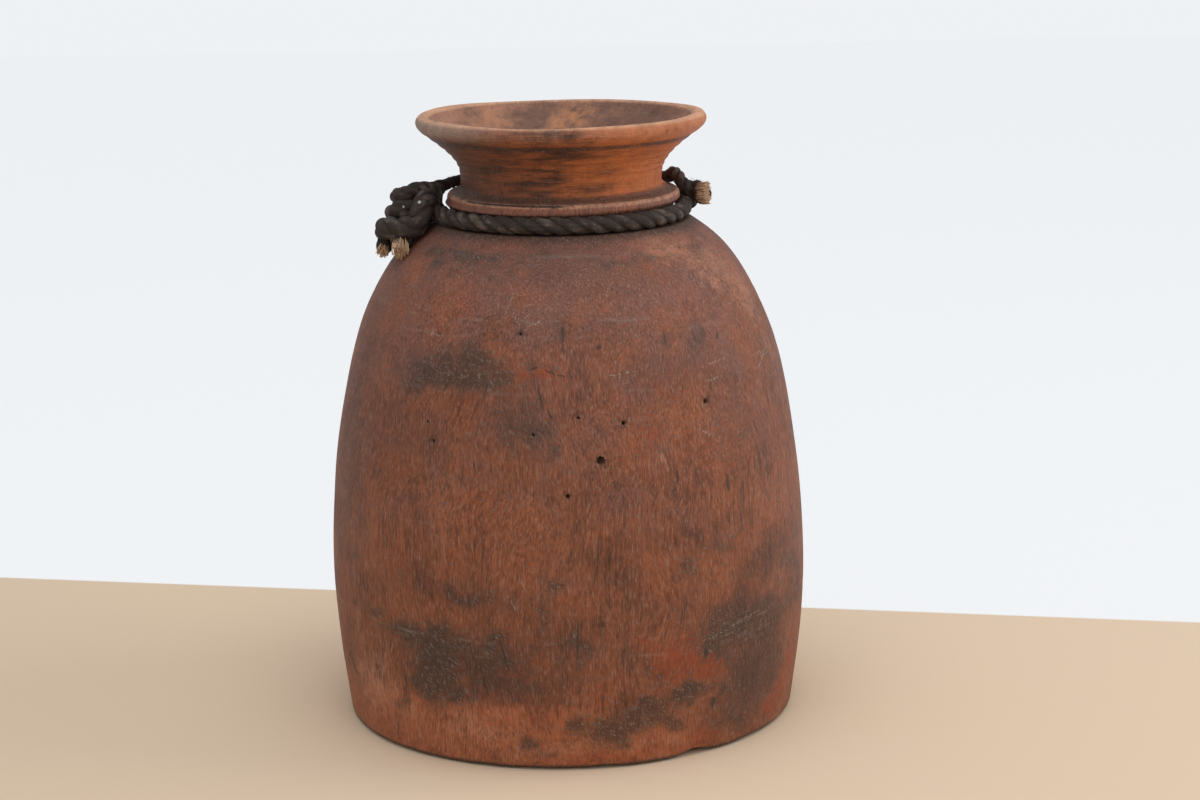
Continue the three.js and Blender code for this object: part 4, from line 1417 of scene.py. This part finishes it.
def light_world(scene, colours):
    """Soft light from all round, and plain white where the camera sees past the floor."""
    world = bpy.data.worlds.new("soft_daylight")
    scene.world = world
    world.use_nodes = True
    tree = world.node_tree
    tree.nodes.clear()
    path = tree.nodes.new("ShaderNodeLightPath")
    white = tree.nodes.new("ShaderNodeBackground")
    white.inputs["Color"].default_value = (*colours.backdrop, 1)
    sky = tree.nodes.new("ShaderNodeBackground")
    sky.inputs["Color"].default_value = (*colours.sky, 1)
    sky.inputs["Strength"].default_value = 0.55
    choose = tree.nodes.new("ShaderNodeMixShader")
    output = tree.nodes.new("ShaderNodeOutputWorld")
    tree.links.new(path.outputs["Is Camera Ray"], choose.inputs[0])
    tree.links.new(sky.outputs[0], choose.inputs[1])
    tree.links.new(white.outputs[0], choose.inputs[2])
    tree.links.new(choose.outputs[0], output.inputs[0])


class MILKPOT_OT_set_stage(bpy.types.Operator):
    """Place the camera, the pale floor and the soft lights"""

    bl_idname = "milkpot.set_stage"
    bl_label = "Set the stage"

    def execute(self, context):
        place_camera(context.scene)
        lay_floor(context.scene.pot_colours)
        hang_lamps()
        light_world(context.scene, context.scene.pot_colours)
        context.scene.view_settings.view_transform = "Standard"
        return {"FINISHED"}


class MILKPOT_OT_lay_rope(bpy.types.Operator):
    """Lay the thick rope and the thinner cord through their knots"""

    bl_idname = "milkpot.lay_rope"
    bl_label = "Lay the rope and the cord"

    def execute(self, context):
        shape = context.scene.cord_shape
        colours = context.scene.pot_colours
        thick = LaidCord(
            "rope", rope_route(shape), shape.rope_diameter, shape.rope_lay, ROPE_KNOTS, 0.7 * MM, 16)
        thin = LaidCord(
            "cord", cord_route(shape), shape.cord_diameter, shape.cord_lay, CORD_KNOTS, 0.6 * MM, 12)
        rope, rope_middle = laid_tube(thick, thin, shape.press, seed=3)
        cord, cord_middle = laid_tube(thin, thick, shape.press, seed=4)
        add_hairs(rope, rope_middle, thick.diameter / 2, count=1100, seed=5)
        add_hairs(cord, cord_middle, thin.diameter / 2, count=700, seed=6)
        black_rope = rope_finish(colours, "black_rope", thick.lay, SPECKS)
        black_cord = rope_finish(colours, "black_cord", thin.lay, [])
        dress(rope, black_rope, RING_BODY, "black_rope", "front_rope", "left_knot", "right_knot")
        dress(cord, black_cord, RING_BODY, "black_cord", "back_cord")
        ends = bpy.ops.milkpot.fray_ends()
        if ends != {"FINISHED"}:
            raise RuntimeError("the frayed ends couldn't be made")
        return {"FINISHED"}


class MILKPOT_OT_fray_ends(bpy.types.Operator):
    """Add the frayed fibres at the ends of the rope and the cord"""

    bl_idname = "milkpot.fray_ends"
    bl_label = "Fray the ends"

    def execute(self, context):
        shape = context.scene.cord_shape
        material = fibre_finish(context.scene.pot_colours)
        rope, cord = rope_route(shape), cord_route(shape)
        # Line from the end inwards, shift of the root, droop, length, neck, flare, fibres and CAD node
        ends = {
            "rope_left_fray": (
                rope[::-1], (0, 0, 0), (0.0, -0.3, -0.6), 9, 3.4, 4.2, 240, "left_rope_end"),
            "cord_left_fray": (
                cord, (0, 0, 0), (-0.3, -0.2, -0.5), 5.5, 2.2, 3.2, 130, "left_cord_end"),
            "rope_right_fray": (
                rope, (-2.2, 0, 0), (0.6, 0.75, 0.1), 6.5, 4.4, 5.6, 340, "right_rope_end"),
        }
        for seed, (name, values) in enumerate(ends.items(), FIRST_FRAY_SEED):
            line, shift, droop, length, neck, flare, count, node = values
            root = line[0] + np.array(shift) * MM
            way = Vector(line[0] - line[8]).normalized() + Vector(droop)
            tuft = frayed_end(name, root, way, length * MM, neck * MM, flare * MM, count, seed)
            dress(tuft, material, RING_BODY, "frayed_fibre", node)
        return {"FINISHED"}


class MILKPOT_OT_carve_pot(bpy.types.Operator):
    """Carve the pot, wear it, and stain its wood"""

    bl_idname = "milkpot.carve_pot"
    bl_label = "Carve the pot"

    def execute(self, context):
        shape = context.scene.pot_shape
        outline = outer_outline(shape) + inner_outline(shape)
        pot = raise_rings("carved_pot", outline, shape.segments)
        smooth_over(pot, 2)
        carve(pot, shape)
        drill(pot, shape)
        paint(pot, shape)
        only(pot)
        bpy.ops.object.shade_smooth()
        dress(pot, wood_finish(context.scene.pot_colours), POT_BODY, "wood", "pot")
        return {"FINISHED"}


class MILKPOT_PT_panel(bpy.types.Panel):
    """Lists the steps and the sizes"""

    bl_label = "Milk pot"
    bl_idname = "MILKPOT_PT_panel"
    bl_space_type = "VIEW_3D"
    bl_region_type = "UI"
    bl_category = "Milk pot"

    def draw(self, context):
        for operator in STEPS:
            self.layout.operator(operator.bl_idname)
        for group in ("pot_shape", "cord_shape", "pot_colours"):
            box = self.layout.box()
            values = getattr(context.scene, group)
            for name in values.bl_rna.properties.keys():
                if name not in ("rna_type", "name"):
                    box.prop(values, name)


STEPS = (MILKPOT_OT_set_stage, MILKPOT_OT_lay_rope, MILKPOT_OT_fray_ends, MILKPOT_OT_carve_pot)
CLASSES = (PotShape, CordShape, PotColours, *STEPS, MILKPOT_PT_panel)


def register():
    for item in CLASSES:
        bpy.utils.register_class(item)
    bpy.types.Scene.pot_shape = PointerProperty(type=PotShape)
    bpy.types.Scene.cord_shape = PointerProperty(type=CordShape)
    bpy.types.Scene.pot_colours = PointerProperty(type=PotColours)


def unregister():
    for name in ("pot_shape", "cord_shape", "pot_colours"):
        delattr(bpy.types.Scene, name)
    for item in reversed(CLASSES):
        bpy.utils.unregister_class(item)


def main():
    register()
    bpy.ops.milkpot.set_stage()
    bpy.ops.milkpot.lay_rope()
    bpy.ops.milkpot.carve_pot()
    deselect()


if __name__ == "__main__":
    main()
